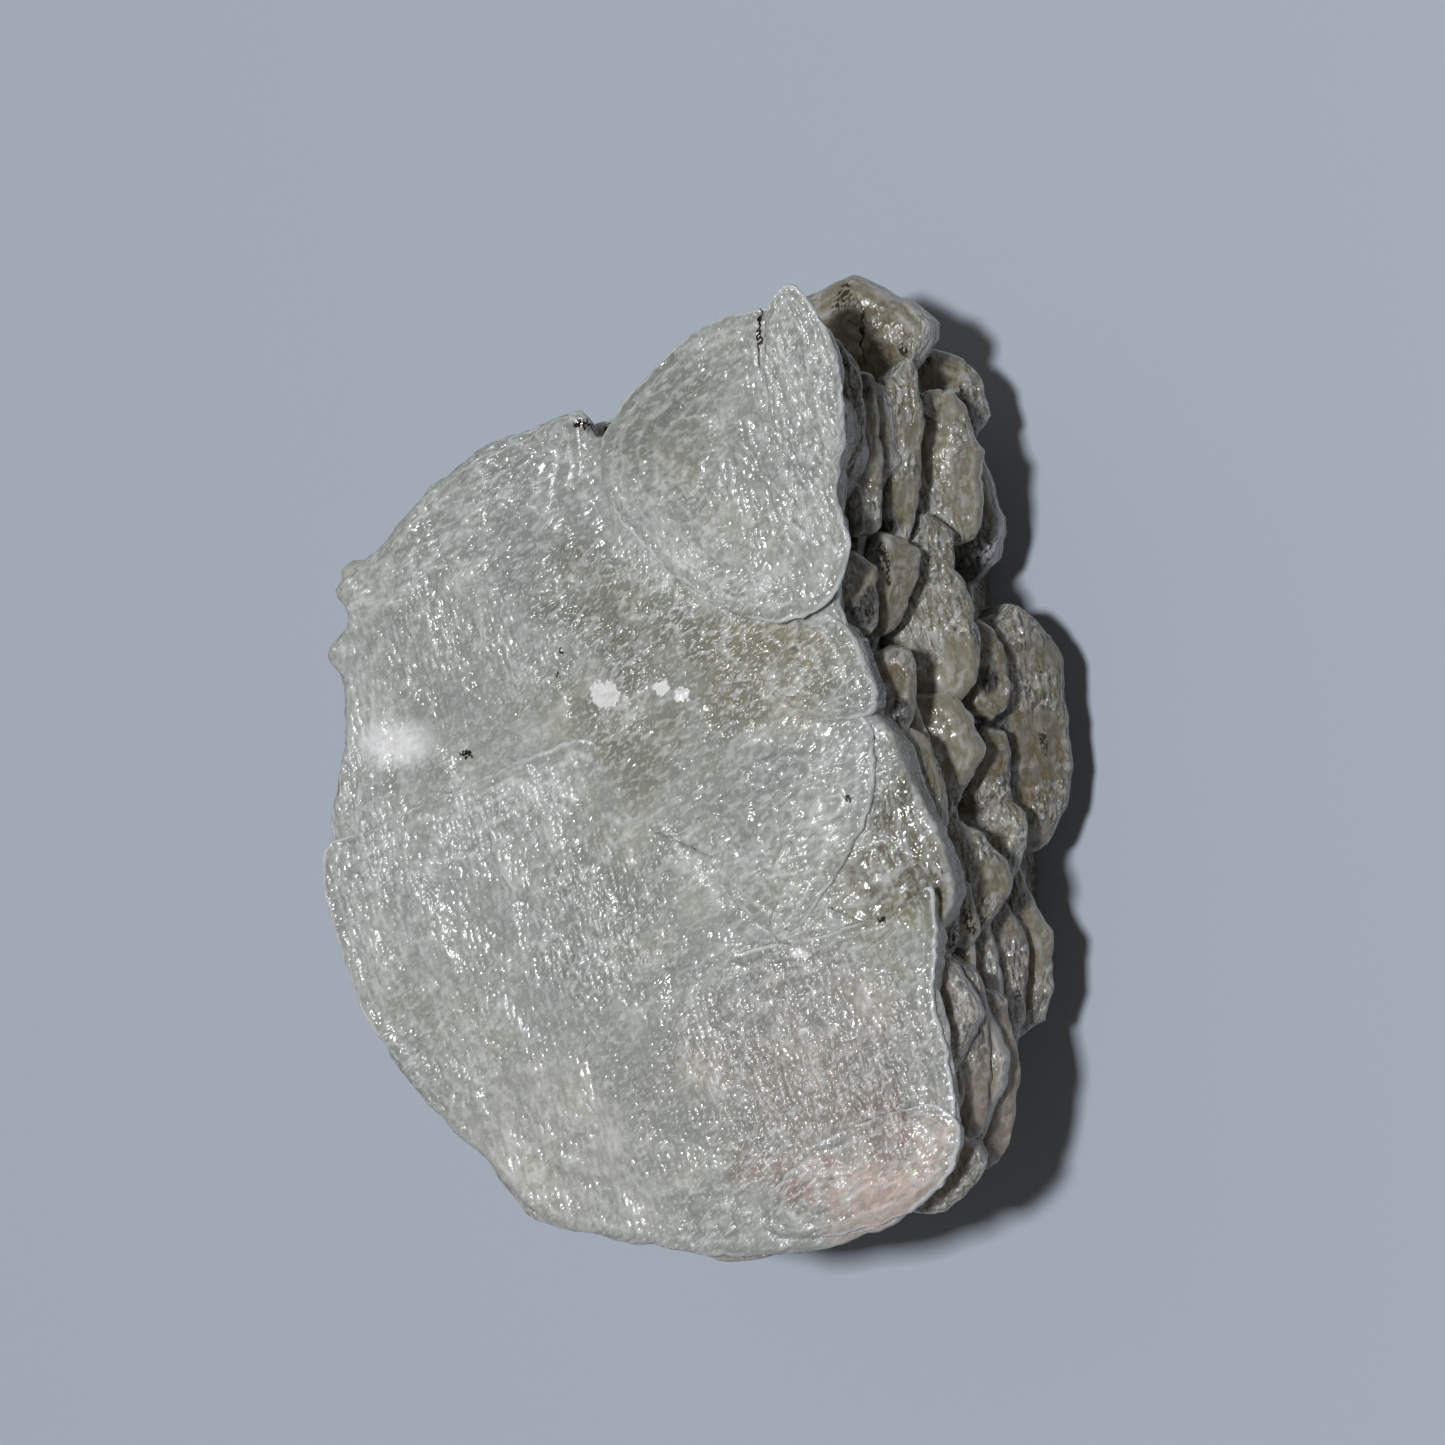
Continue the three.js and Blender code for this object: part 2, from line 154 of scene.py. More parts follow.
def noise(points, size, seed=0):
    """Smooth noise from -1 to 1: random numbers at the corners of cubes of a size, hashed from each
    corner's place and the seed, and blended by the eased distances of a point from the corners."""
    at = np.asarray(points) / size
    corner = np.floor(at).astype(np.int64)
    part = at - corner
    ease = part * part * (3 - 2 * part)
    total = np.zeros(len(at))
    for step in np.ndindex(*(2,) * at.shape[1]):
        i = corner + step
        mixed = (i * [73856093, 19349663, 83492791][: at.shape[1]]).sum(1) + seed * 97531
        mixed = ((mixed ^ (mixed >> 15)) * 1274126177) & 0xFFFFFFFF
        mixed = ((mixed ^ (mixed >> 13)) * 668265263) & 0xFFFFFFFF
        value = (mixed ^ (mixed >> 16)) / 0xFFFFFFFF
        total += value * np.prod(np.where(step, ease, 1 - ease), axis=1)
    return 2 * total - 1


def curve_through(outline):
    """The closed centripetal Catmull-Rom curve through an outline's points, as 24 points a span. In
    each span the cubic starts and ends with the tangents of the curve's knots, which lie apart by
    the root of the distance between the points. Turned to run counter-clockwise."""
    p1 = np.array(outline, float)[::-1]
    p0, p2, p3 = np.roll(p1, 1, 0), np.roll(p1, -1, 0), np.roll(p1, -2, 0)
    knot = [np.sqrt(np.linalg.norm(b - a, axis=1))[:, None] for a, b in ((p0, p1), (p1, p2), (p2, p3))]
    start = knot[1] * ((p1 - p0) / knot[0] - (p2 - p0) / (knot[0] + knot[1]) + (p2 - p1) / knot[1])
    end = knot[1] * ((p2 - p1) / knot[1] - (p3 - p1) / (knot[1] + knot[2]) + (p3 - p2) / knot[2])
    t = np.linspace(0, 1, 24, endpoint=False)[None, :, None]
    p1, p2, start, end = p1[:, None], p2[:, None], start[:, None], end[:, None]
    curve = (2 * t**3 - 3 * t**2 + 1) * p1 + (t**3 - 2 * t**2 + t) * start
    curve += (3 * t**2 - 2 * t**3) * p2 + (t**3 - t**2) * end
    return curve.reshape(-1, 2)


def along(curve, share):
    """Points of a closed curve at shares of its length, from 0 to 1."""
    closed = np.vstack([curve, curve[:1]])
    length = np.concatenate([[0], np.cumsum(np.linalg.norm(np.diff(closed, axis=0), axis=1))])
    at = (share % 1) * length[-1]
    return np.stack([np.interp(at, length, closed[:, 0]), np.interp(at, length, closed[:, 1])], -1)


def swell(xy):
    """How far a broad face rises and dips: the product of two waves that cross each other."""
    x, y = xy[..., 0], xy[..., 1]
    return SHEET_WAVE * np.sin(0.29 * x + 0.17 * y) * np.cos(0.23 * y - 0.09 * x)


def front(xy):
    """The height of the main sheet: the lower of two planes, blended over a broad bend, and a swell.
    The blend is minus the logarithm of the sum of both planes' exponentials."""
    x, y = xy.T
    flat = FRONT_HEIGHT + 0.010 * x + 0.012 * y
    fallen = FALLEN_HEIGHT - 0.11 * (x - FALLEN_MIDDLE[0]) + 0.12 * (y - FALLEN_MIDDLE[1])
    return swell(xy) - BEND * np.log(np.exp(-flat / BEND) + np.exp(-fallen / BEND))


def leaf_section(thick, rim, crown, rings, undercut):
    """Half of a leaf's cross-section, as share of the way out, inset and height of each ring, from
    the middle of its upper face over the worn rim and down its edge, and then in along its back."""
    edge = max(4, rings // 6)
    flat = rings - edge
    share = np.linspace(0, 1, flat + 1)
    worn = np.linspace(0, np.pi / 2, edge // 2 + 1)[1:]
    wall = np.linspace(0, 1, edge - edge // 2 + 1)[1:]
    face = np.stack([share, share**8 * rim, crown * (1 - share**2)], 1)
    round_rim = np.stack([np.ones_like(worn), rim * (1 - np.sin(worn)), rim * (np.cos(worn) - 1)], 1)
    down = -rim - wall * (0.5 * thick - rim)
    side = np.stack([np.ones_like(wall), 0.5 * undercut * thick * wall, down], 1)
    upper = np.vstack([face, round_rim, side])
    lower = upper[::-1] * [1, 1, 0]
    lower[:, 2] = np.interp(np.arange(rings + 1), [0, edge, rings], [-0.5 * thick, -thick, -thick])
    lower[:, 1] = np.interp(np.arange(rings + 1), [0, edge, rings],
                            [0.5 * undercut * thick, undercut * thick, undercut * thick])
    lower[:, 0] = np.interp(np.arange(rings + 1), [0, edge, rings], [1, 1, 0])
    return upper, lower[::-1]


def disc_grid(rings):
    """The rings and turns of a square grid that is drawn out to a disc: a point's ring is the larger
    of its distances from the middle row and column, and its turn runs round the ring at an even
    pace. Also the grid's square faces."""
    side = 2 * rings + 1
    i, j = np.meshgrid(np.arange(-rings, rings + 1), np.arange(-rings, rings + 1), indexing="ij")
    ring = np.maximum(abs(i), abs(j))
    wide = abs(i) >= abs(j)
    safe = np.where(ring == 0, 1, ring)
    along_side = np.where(wide, j * np.sign(i), -i * np.sign(j)) / safe
    quarter = np.where(wide, np.where(i >= 0, 0, 2), np.where(j >= 0, 1, 3))
    turn = (quarter / 4 + along_side / 8) % 1
    number = np.arange(side * side).reshape(side, side)
    faces = np.stack([number[:-1, :-1], number[1:, :-1], number[1:, 1:], number[:-1, 1:]], -1)
    return ring.ravel(), turn.ravel(), faces.reshape(-1, 4)


def plate_mesh(name, edge_at, middle, section, place, plate_stain_and_shade, rim_highlight):
    """A closed plate. A point on ring r at a turn lies out from the middle towards edge_at(turn), by
    the section's share of the way less its inset, at the section's height. place() then sets it in
    the stone. The upper and lower grids share their outermost ring. The attribute "growth" holds
    how far each corner lies from the plate's edge, in millimetres, how bright a highlight is painted
    along that edge, and how stained the plate is, which is partly painted shade."""
    upper, lower = section
    rings = len(upper) - 1
    ring, turn, faces = disc_grid(rings)
    spoke = edge_at(turn) - middle
    reach = np.linalg.norm(spoke, axis=1)
    layers = []
    for half in (upper, lower):
        share, inset, height = half[ring].T
        xy = middle + spoke * (share * (reach - inset) / reach)[:, None]
        layers.append(np.column_stack([xy, height]))
    count = len(ring)
    inner = ring < rings
    below = np.where(inner, count + np.cumsum(inner) - 1, np.arange(count))
    points = place(np.vstack([layers[0], layers[1][inner]]))
    corners = np.vstack([faces, below[faces][:, ::-1]])
    mesh = bpy.data.meshes.new(name)
    mesh.from_pydata(points.tolist(), [], corners.tolist())
    worn = upper[upper[:, 0] == 1]
    below_rim = [np.minimum(0, layer[:, 2] - worn[worn[:, 1].argmin(), 2]) for layer in layers]
    to_edge = [np.hypot(np.linalg.norm(layer[:, :2] - middle - spoke, axis=1), drop)
               for layer, drop in zip(layers, below_rim)]
    from_edge = np.concatenate([to_edge[0], to_edge[1][inner]])[corners.ravel()]
    marks = np.column_stack([from_edge, np.full(len(from_edge), rim_highlight), np.full(len(from_edge), plate_stain_and_shade)])
    growth = mesh.attributes.new("growth", "FLOAT_VECTOR", "CORNER")
    growth.data.foreach_set("vector", marks.ravel())
    return bpy.data.objects.new(name, mesh)


def ragged(edge, amount, size, seed):
    """An edge of a plate with small chips: each of its points is moved by noise of two sizes."""
    nicks = [noise(edge, size, seed + k) + 0.5 * noise(edge, size / 3, seed + k + 7) for k in (0, 1)]
    return edge + amount * np.stack(nicks, -1)


def sheet(name, edge_at, shape, rings, base=None, flat_base=False):
    """A leaf or scale. Its face lies at the shape's top over a base surface, with a slope from its middle
    and a crown. Without a base surface it is a leaf of the book, which stays below the front."""
    middle = edge_at(np.arange(64) / 64).mean(0)
    thick = shape["thick"]

    def place(points):
        tilt = (points[:, :2] - middle) @ np.array(shape["slope"])
        level = swell(points[:, :2]) if base is None else base(points[:, :2])
        lift = shape["top"] + tilt + level
        if base is None:
            lift = np.minimum(lift, front(points[:, :2]) - UNDER_FRONT)
        if flat_base:
            lift = np.where(points[:, 2] < -0.99 * thick, shape["top"], lift)
        return points + lift[:, None] * [0, 0, 1]

    section = leaf_section(thick, shape["rim"], shape["crown"], rings, shape["undercut"])
    plate_stain_and_shade, rim_highlight = (LEAF_STAIN, LEAF_RIM_HIGHLIGHT) if base is None else (0, shape["rim_highlight"])
    return plate_mesh(name, edge_at, middle, section, place, plate_stain_and_shade, rim_highlight)


def book_edge(height, lobes=0, shift=0, seed=0):
    """The book's outline at a height, as a blend of the two given ones nearest it. Each lobe is half a
    sine wave along the rim, added outwards from the book's middle."""
    above = int(np.searchsorted(BOOK_HEIGHTS, height, side="right"))
    share = (height - BOOK_HEIGHTS[above - 1]) / (BOOK_HEIGHTS[above] - BOOK_HEIGHTS[above - 1])
    near, far = [curve_through(BOOK_OUTLINES[k]) for k in (above - 1, above)]

    def edge_at(turn):
        edge = along(near, turn) * (1 - share) + along(far, turn) * share
        if lobes:
            spoke = edge - BOOK_MIDDLE
            spoke /= np.linalg.norm(spoke, axis=1)[:, None]
            wave = abs(np.sin(np.pi * lobes * turn + 1.9 * shift))
            edge = edge + spoke * (SCALLOP * (wave - 0.5))[:, None]
        return ragged(edge, amount=0.12, size=1.1, seed=seed)

    return edge_at


cleavage_leaf = {"top": BASE_TOP, "thick": BASE_TOP, "rim": 0.4, "crown": 0.2, "slope": (0.02, 0.01),
                 "undercut": 0.1}
plates = [sheet("cleavage_leaf", book_edge(BOOK_HEIGHTS[0]), cleavage_leaf, rings=26, flat_base=True)]
for i in range(LEAF_COUNT):
    top = BASE_TOP + LEAF_PITCH * (i + 0.6)
    shape = {"top": top, "thick": LEAF_THICK, "rim": 0.35, "crown": 0.2,
             "slope": (0.03 * np.sin(2.3 * i), 0.025 * np.cos(1.7 * i)), "undercut": 0.5}
    edge_at = book_edge(top - LEAF_THICK / 2, 9 + (2 * i) % 5, i, seed=i)
    plates.append(sheet(f"leaf_{i}", edge_at, shape, rings=30))


# ---- the main sheet and the scales of the front -------------------------------------------------
# The main sheet closes the book, and bends down to the lower right. Thin scales lie on it, each with a
# crisp edge where it stands proud and flush with the sheet where it runs out.
#
# top and slope place a scale's face over the front. rim is the radius of its worn rim, crown the rise at
# its middle, undercut how far its edge draws in for its thickness, and the last number how bright a
# highlight is painted along its rim.
SCALES = {
    "main_sheet": {
        "top": 0, "thick": 2.8, "slope": (0, 0), "rim": 0.3, "crown": 0.2, "rings": 62,
        "undercut": 0.5, "rim_highlight": 0.5,
        "outline": [(-12.4, 7.9), (-11.4, 8.7), (-9, 11), (-6.8, 12.7), (-4.5, 13.6), (-2.3, 14.2),
                    (-1.7, 13.2), (0.8, 14.4), (4.5, 15.6), (8.4, 14.5), (8.8, 10.5), (8.9, 6.6),
                    (10.1, 3.6), (9.8, 1.4), (9.1, -1.6), (8.3, -3.8), (9, -6), (11.6, -7.2), (12.9, -13),
                    (12.6, -15.6), (10, -18.2), (6.5, -19.2), (2.6, -19.5), (-1.5, -19), (-4.6, -18.2),
                    (-7, -15.9), (-9.3, -13.8), (-11.4, -11), (-12.8, -6.8), (-13.4, -2.6),
                    (-12.9, 1.2), (-12.9, 3.5), (-13.6, 4.5), (-12.9, 5.4), (-12.6, 6.2), (-13.2, 7.1)]},
    "lower_sheet": {
        "top": 0.08, "thick": 2.2, "slope": (0.035, 0.03), "rim": 0.14, "crown": 0.1, "rings": 46,
        "undercut": 0.3, "rim_highlight": 1.0,
        "outline": [(-3.4, -10.4), (-0.8, -9.2), (1.9, -8.2), (4.5, -7.4), (8.3, -6.5), (11, -5.6),
                    (12.5, -4.7), (12.6, -7.2), (12.4, -9.4), (13, -13), (12.8, -15.6), (10.4, -18),
                    (6.5, -18.8), (2.6, -18.9), (-1.5, -18), (-4, -16), (-4.8, -13)]},
    "lower_left_sheet": {
        "top": 0.0, "thick": 1.6, "slope": (-0.05, 0.05), "rim": 0.12, "crown": 0.12, "rings": 45,
        "undercut": 0.0, "rim_highlight": 0.8,
        "outline": [(-13.4, -3.4), (-10.8, -2.3), (-8.4, -1.2), (-6, -0.2), (-3.9, 0.6), (-2.2, 1.1),
                    (-0.6, 0.4), (0.8, -1.7), (2.6, -4.1), (4.6, -6.4), (3.2, -8.2), (0.1, -9.8),
                    (-3.6, -12.6), (-6.3, -15.4), (-9.2, -13.2), (-11.6, -10.6), (-12.9, -7.4),
                    (-13.5, -4.8)]},
    "upper_left_scale": {
        "top": 0.0, "thick": 1.2, "slope": (0.0, 0.05), "rim": 0.12, "crown": 0.1, "rings": 34,
        "undercut": 0.0, "rim_highlight": 0.6,
        "outline": [(-9.6, 9.6), (-7.4, 11.9), (-4.7, 13.2), (-2.4, 14), (-2.2, 11.8), (-1.8, 9.6),
                    (-2.6, 7.8), (-5, 7.6), (-8, 8)]},
    "upper_scale": {
        "top": 0.85, "thick": 2.8, "slope": (0.005, -0.01), "rim": 0.2, "crown": 0.15, "rings": 42,
        "undercut": 0.5, "rim_highlight": 1.0,
        "outline": [(-1, 11.8), (-0.7, 13.4), (1, 15.5), (3.1, 17.1), (5.4, 18), (7.4, 18.2),
                    (9.1, 16.4), (9.3, 13.5), (9.1, 11.2), (9.7, 9), (9.2, 7), (7.7, 5.9), (5.5, 5.9),
                    (3.1, 7), (0.6, 9), (-0.6, 10.5)]},
    "crest": {
        "top": 1.05, "thick": 3.2, "slope": (0.01, 0.05), "rim": 0.2, "crown": 0.1, "rings": 26,
        "undercut": 0.5, "rim_highlight": 0.7,
        "outline": [(6.4, 16.8), (6.7, 18.3), (7.6, 19), (8.6, 18), (9.4, 16.5), (9.6, 13.8),
                    (9.4, 11.6), (8.5, 10.2), (7.4, 10.6), (6.5, 13.4)]},
    "shield": {
        "top": 0.05, "thick": 1.6, "slope": (0.045, -0.07), "rim": 0.16, "crown": 0.25, "rings": 34,
        "undercut": 0.1, "rim_highlight": 1.0,
        "outline": [(2.4, 1.6), (5.4, 2.5), (8.4, 2.6), (9.9, 1.8), (10.1, -1), (9.2, -3.2),
                    (7.9, -5.2), (6.5, -6.5), (4.3, -5.4), (2.5, -3.4), (1.3, -1.4), (1.2, 0.4)]},
    "rough_ground": {
        "top": 0.0, "thick": 1.4, "slope": (0.08, 0), "rim": 0.14, "crown": 0.2, "rings": 26,
        "undercut": 0.1, "rim_highlight": 0.5,
        "outline": [(2.8, 5.4), (5, 6.3), (8, 6.2), (9.2, 5.6), (10.2, 3.6), (10.3, 2.2), (6.6, 1.9),
                    (3.6, 2.6)]},
    "falling_face": {
        "top": -0.25, "thick": 2.6, "slope": (-0.24, 0.02), "rim": 0.2, "crown": 0.1, "rings": 28,
        "undercut": 0.2, "rim_highlight": 0.1,
        "outline": [(5.8, -6.6), (7.2, -3.4), (8.2, 0.4), (9.4, 2.6), (10.6, 1.6), (11.4, -0.4),
                    (12.3, -2.6), (12.7, -5.4), (11, -7.4), (8, -7.6)]},
    "small_lower_scale": {
        "top": 0.45, "thick": 1.6, "slope": (0.0, 0.02), "rim": 0.16, "crown": 0.15, "rings": 28,
        "undercut": 0.3, "rim_highlight": 1.0,
        "outline": [(4.8, -17.6), (5.9, -16), (7.4, -14.9), (9.9, -13.9), (12.2, -13.3), (13.2, -14.2),
                    (13, -15.4), (12, -16.9), (9.6, -18.2), (6.8, -18.7), (5.2, -18.5)]},
}


def scale_edge(outline, seed):
    """The edge of a scale: a smooth curve through its outline, with small chips."""
    curve = curve_through(outline)
    return lambda turn: ragged(along(curve, turn), amount=0.09, size=0.8, seed=seed)


for number, (name, shape) in enumerate(SCALES.items()):
    edge_at = scale_edge(shape["outline"], 20 + number)
    plates.append(sheet(name, edge_at, shape, shape["rings"], base=front))


# ---- the plates in the edge of the book ---------------------------------------------------------
# Small rounded plates stand out of the book's right side like shingles. Each has its centre, half its
# width and height, its thickness, how far it is turned towards +X and leans towards +Y in degrees, and
# how stained it is, which is partly painted shade: plates that lie in shade get more of the dark stain.
RIPPLE = 0.08
# how bright a highlight is painted along the edge plates' rims
EDGE_RIM_HIGHLIGHT = 0.35
EDGE_PLATES = [
    ((5.6, 13.1, 20.3), (3.0, 3.6), 2.0, -3, 0, 0.8),
    ((5.2, 12.6, 17.8), (3.0, 3.2), 2.2, 0, 2, 0.9),
    ((5.4, 13, 14.9), (3.0, 3.2), 2.2, 2, -2, 0.9),
    ((7.5, 14.2, 18.9), (0.8, 2.6), 1.7, 46, 0, 0.9),
    ((7.5, 12.3, 17), (0.95, 3.2), 1.8, 46, 2, 0.45),
    ((7.8, 12.7, 14), (1.0, 3.5), 1.9, 46, -2, 0.5),
    ((5.4, 16.9, 11.8), (3.1, 3), 2.4, 2, -4, 0.9),
    ((8.4, 11.7, 10.3), (1.55, 3.4), 2.1, 36, 2, 0.25),
    ((8, 14.5, 10.8), (0.8, 0.8), 1.4, 40, 14, 0.4),
    ((7.3, 14.8, 7.4), (1.6, 2.4), 2, 40, 8, 0.9),
    ((6.1, 11, 6.2), (3.1, 4.2), 2.4, 8, -3, 0.8),
    ((7.6, 6.8, 18.6), (1.3, 1.5), 2, 46, 4, 0.6),
    ((8, 7.5, 15.6), (1.2, 2), 2, 52, -4, 0.6),
    ((8.6, 8.6, 12.6), (1, 1.5), 1.8, 50, 6, 0.7),
    ((8.9, 5.2, 12.6), (1.8, 3.1), 2.2, 34, 8, 0.2),
    ((9.1, 0.7, 12.9), (1.75, 2.9), 2.2, 32, -6, 0.3),
    ((9.7, 3.7, 9.5), (1.1, 2), 1.8, 50, 4, 0.9),
    ((9.7, -0.3, 9.3), (1.3, 1.9), 1.9, 44, -8, 0.9),
    ((8.5, 2.2, 17.8), (1.8, 2.8), 2.2, 34, -2, 0.8),
    ((9, -1.6, 17.4), (2.1, 3.4), 2.3, 46, 4, 0.75),
    ((9.1, 1.2, 6.4), (3, 5.3), 2.9, 58, 0, 1.0),
    ((9.9, -3, 9.1), (1.6, 2.1), 2, 24, 12, 0.1),
    ((10.2, -4.4, 13.4), (2, 2.4), 2.2, 40, -8, 0.7),
    ((10.8, -6, 14.8), (1, 1.3), 1.5, 44, 0, 0.3),
    ((10.3, -6.2, 17), (1.8, 1.7), 2.1, 24, 4, 0.4),
    ((9.6, -10.4, 17.4), (3, 4), 2.2, 8, 3, 0.2),
    ((9.6, -11.7, 14.9), (3.1, 4.4), 2.3, 11, -3, 0.2),
    ((11.5, -11.4, 15.9), (1, 3.9), 1.8, 58, 2, 0.15),
    ((11.4, -12.4, 12.9), (1, 3.7), 1.8, 60, -4, 0.15),
    ((9.2, -15, 16.6), (3.4, 2.8), 2.2, 12, -10, 0.2),
    ((9.2, -9.4, 11.9), (2.7, 4.2), 2.3, 16, -4, 0.4),
    ((10.5, -8.8, 9.6), (1.1, 3.2), 1.9, 56, 2, 0.5),
    ((9.4, -8.1, 7.6), (2.4, 4), 2.5, 28, -4, 0.6),
    ((7.6, -13.4, 9.2), (2.8, 3.2), 2.6, 20, -12, 0.6),
    ((-12.6, 7.3, 19.4), (1.6, 1.1), 1.5, -14, 10, 0.1),
    ((-12.5, 5.2, 18.8), (1.5, 1), 1.5, -20, -6, 0.1),
]


def lens_section(thick, rings):
    """Half of a small plate's cross-section: a nearly flat face, a narrow worn rim, and an edge that
    draws in below it, as knots joined by straight lines."""
    at = np.linspace(0, 1, rings + 1)
    knots = [0, 0.55, 0.72, 0.8, 0.88, 1]
    upper = np.column_stack([
        np.interp(at, knots, [0, 0.75, 1, 1, 1, 1]),
        thick * np.interp(at, knots, [0, 0, 0.11, 0.04, 0.005, 0]),
        thick * np.interp(at, knots, [0.14, 0.08, 0.0, -0.05, -0.15, -0.4])])
    lower = np.column_stack([
        np.interp(at, [0, 0.6, 0.85, 1], [0, 1, 1, 1]),
        thick * np.interp(at, [0, 0.6, 0.85, 1], [0, 0.3, 0.07, 0]),
        thick * np.interp(at, [0, 0.6, 0.85, 1], [-1, -0.95, -0.8, -0.45])])
    return upper, lower


def turned(points, turn, lean):
    """Points tipped back about X by the lean, then turned about Y, both in degrees."""
    a, b = np.radians(-lean), np.radians(turn)
    about_x = np.array([[1, 0, 0], [0, np.cos(a), -np.sin(a)], [0, np.sin(a), np.cos(a)]])
    about_y = np.array([[np.cos(b), 0, np.sin(b)], [0, 1, 0], [-np.sin(b), 0, np.cos(b)]])
    return points @ (about_y @ about_x).T


def edge_plate(number, at, half, thick, turn, lean, plate_stain_and_shade):
    """A rounded plate, set in the edge of the book. Its oval ripples by two and three waves, and is
    drawn partly to a polygon of five to seven sides, whose reach is the cosine of half a side's angle
    over that of the angle from the side's middle."""

    def edge_at(share):
        angle = 2 * np.pi * share
        ripple = 1 + RIPPLE * np.sin(2 * angle + number) + RIPPLE * np.cos(3 * angle + 2 * number)
        side = 2 * np.pi / (5 + number % 3)
        ripple *= 0.35 + 0.7 * np.cos(side / 2) / np.cos((angle + number) % side - side / 2)
        oval = np.stack([half[0] * ripple * np.cos(angle), half[1] * ripple * np.sin(angle)], -1)
        return ragged(oval, amount=0.13, size=0.9, seed=40 + number)

    def place(points):
        return turned(points + [0, 0, thick / 2], turn, lean) + at

    section = lens_section(thick, rings=13)
    return plate_mesh(f"edge_plate_{number}", edge_at, np.zeros(2), section, place, plate_stain_and_shade, EDGE_RIM_HIGHLIGHT)


plates += [edge_plate(number, *row) for number, row in enumerate(EDGE_PLATES)]


# ---- the stone ----------------------------------------------------------------------------------
# The plates have grown into one solid with a closed skin. Fine growth steps and creases cover it, and
# its underside is worn flat.
family = bpy.data.collections.new("plates")
for plate in plates[1:]:
    family.objects.link(plate)
bpy.context.scene.collection.children.link(family)
bpy.context.scene.collection.objects.link(plates[0])
join = plates[0].modifiers.new("join", "BOOLEAN")
join.operation = "UNION"
join.operand_type = "COLLECTION"
join.collection = family
join.solver = "MANIFOLD"
depsgraph = bpy.context.evaluated_depsgraph_get()
stone = bpy.data.meshes.new_from_object(plates[0].evaluated_get(depsgraph), depsgraph=depsgraph)
for plate in plates:
    bpy.data.objects.remove(plate)
bpy.data.collections.remove(family)


def read(items, name, kind, width):
    """One property of a mesh's items as an array with a row for each."""
    values = np.zeros(len(items) * width, kind)
    items.foreach_get(name, values)
    return values.reshape(-1, width)


def shell_of(count, edges):
    """The number of the connected shell of each vertex: the lowest vertex number reached from it, found
    by handing the lower number of each edge's ends to the other, and then to what points there."""
    lowest = np.arange(count)
    while True:
        least = lowest[edges].min(1)
        handed = lowest.copy()
        np.minimum.at(handed, edges[:, 0], least)
        np.minimum.at(handed, edges[:, 1], least)
        np.minimum.at(handed, lowest[edges[:, 0]], least)
        np.minimum.at(handed, lowest[edges[:, 1]], least)
        handed = handed[handed]
        if (handed == lowest).all():
            return lowest
        lowest = handed


# Every shell but the largest is a gap between plates that is closed inside the stone.
edges = read(stone.edges, "vertices", np.int32, 2)
shell = shell_of(len(stone.vertices), edges)
inner = np.flatnonzero(shell != np.bincount(shell).argmax())
skin = bmesh.new()
skin.from_mesh(stone)
skin.verts.ensure_lookup_table()
bmesh.ops.delete(skin, geom=[skin.verts[k] for k in inner], context="VERTS")
bmesh.ops.triangulate(skin, faces=skin.faces)

# Where the join left a flap of no thickness, its two sides are triangles on the same corners, and go.
skin.verts.index_update()
skin.faces.ensure_lookup_table()
on_corners = np.sort([[corner.index for corner in face.verts] for face in skin.faces], 1)
_, triple, uses = np.unique(on_corners, axis=0, return_inverse=True, return_counts=True)
flaps = np.flatnonzero(uses[triple] > 1)
bmesh.ops.delete(skin, geom=[skin.faces[k] for k in flaps], context="FACES")
skin.to_mesh(stone)
skin.free()

edges = read(stone.edges, "vertices", np.int32, 2)
points = read(stone.vertices, "co", np.float32, 3).astype(float)
normals = read(stone.vertices, "normal", np.float32, 3).astype(float)
corner_vertex = read(stone.loops, "vertex_index", np.int32, 1)[:, 0]
growth = read(stone.attributes["growth"].data, "vector", np.float32, 3)
corners_at = np.maximum(np.bincount(corner_vertex, minlength=len(points)), 1)
from_edge = np.bincount(corner_vertex, growth[:, 0], len(points)) / corners_at


def eased(points, edges, times):
    """Points after each has been moved to the mean of its neighbours a number of times."""
    neighbours = np.bincount(edges.ravel(), minlength=len(points))[:, None]
    for _ in range(times):
        total = [np.bincount(edges.ravel(), points[edges[:, ::-1].ravel(), axis], len(points))
                 for axis in range(3)]
        points = np.stack(total, 1) / neighbours
    return points


def rise(value, low, high):
    """0 below low, 1 above high and eased between them."""
    part = np.clip((value - low) / (high - low), 0, 1)
    return part * part * (3 - 2 * part)


def shingles(xy, count, seed):
    """Thin scales that overlap: at each place the height of the highest of many tilted oval plates, and
    how near its rim the place is."""
    pick = np.random.default_rng(seed)
    height = np.zeros(len(xy))
    rim = np.zeros(len(xy))
    for _ in range(count):
        middle = pick.uniform((-13, -19), (12, 18))
        half = pick.uniform(0.7, 2.6) * np.array([1, pick.uniform(0.5, 1)])
        angle = pick.uniform(0, np.pi)
        tilt = pick.normal(0, 0.035, 2)
        lift = pick.uniform(0.02, 0.09)
        x, y = (xy - middle).T
        u = (x * np.cos(angle) + y * np.sin(angle)) / half[0]
        v = (y * np.cos(angle) - x * np.sin(angle)) / half[1]
        reach = np.sqrt(u * u + v * v)
        plane = lift + (xy - middle) @ tilt
        top = (reach < 1) & (plane > height)
        height = np.where(top, plane, height)
        rim = np.where(top, rise(reach, 1 - 0.35 / half[1], 1), rim)
    return np.stack([height, rim])


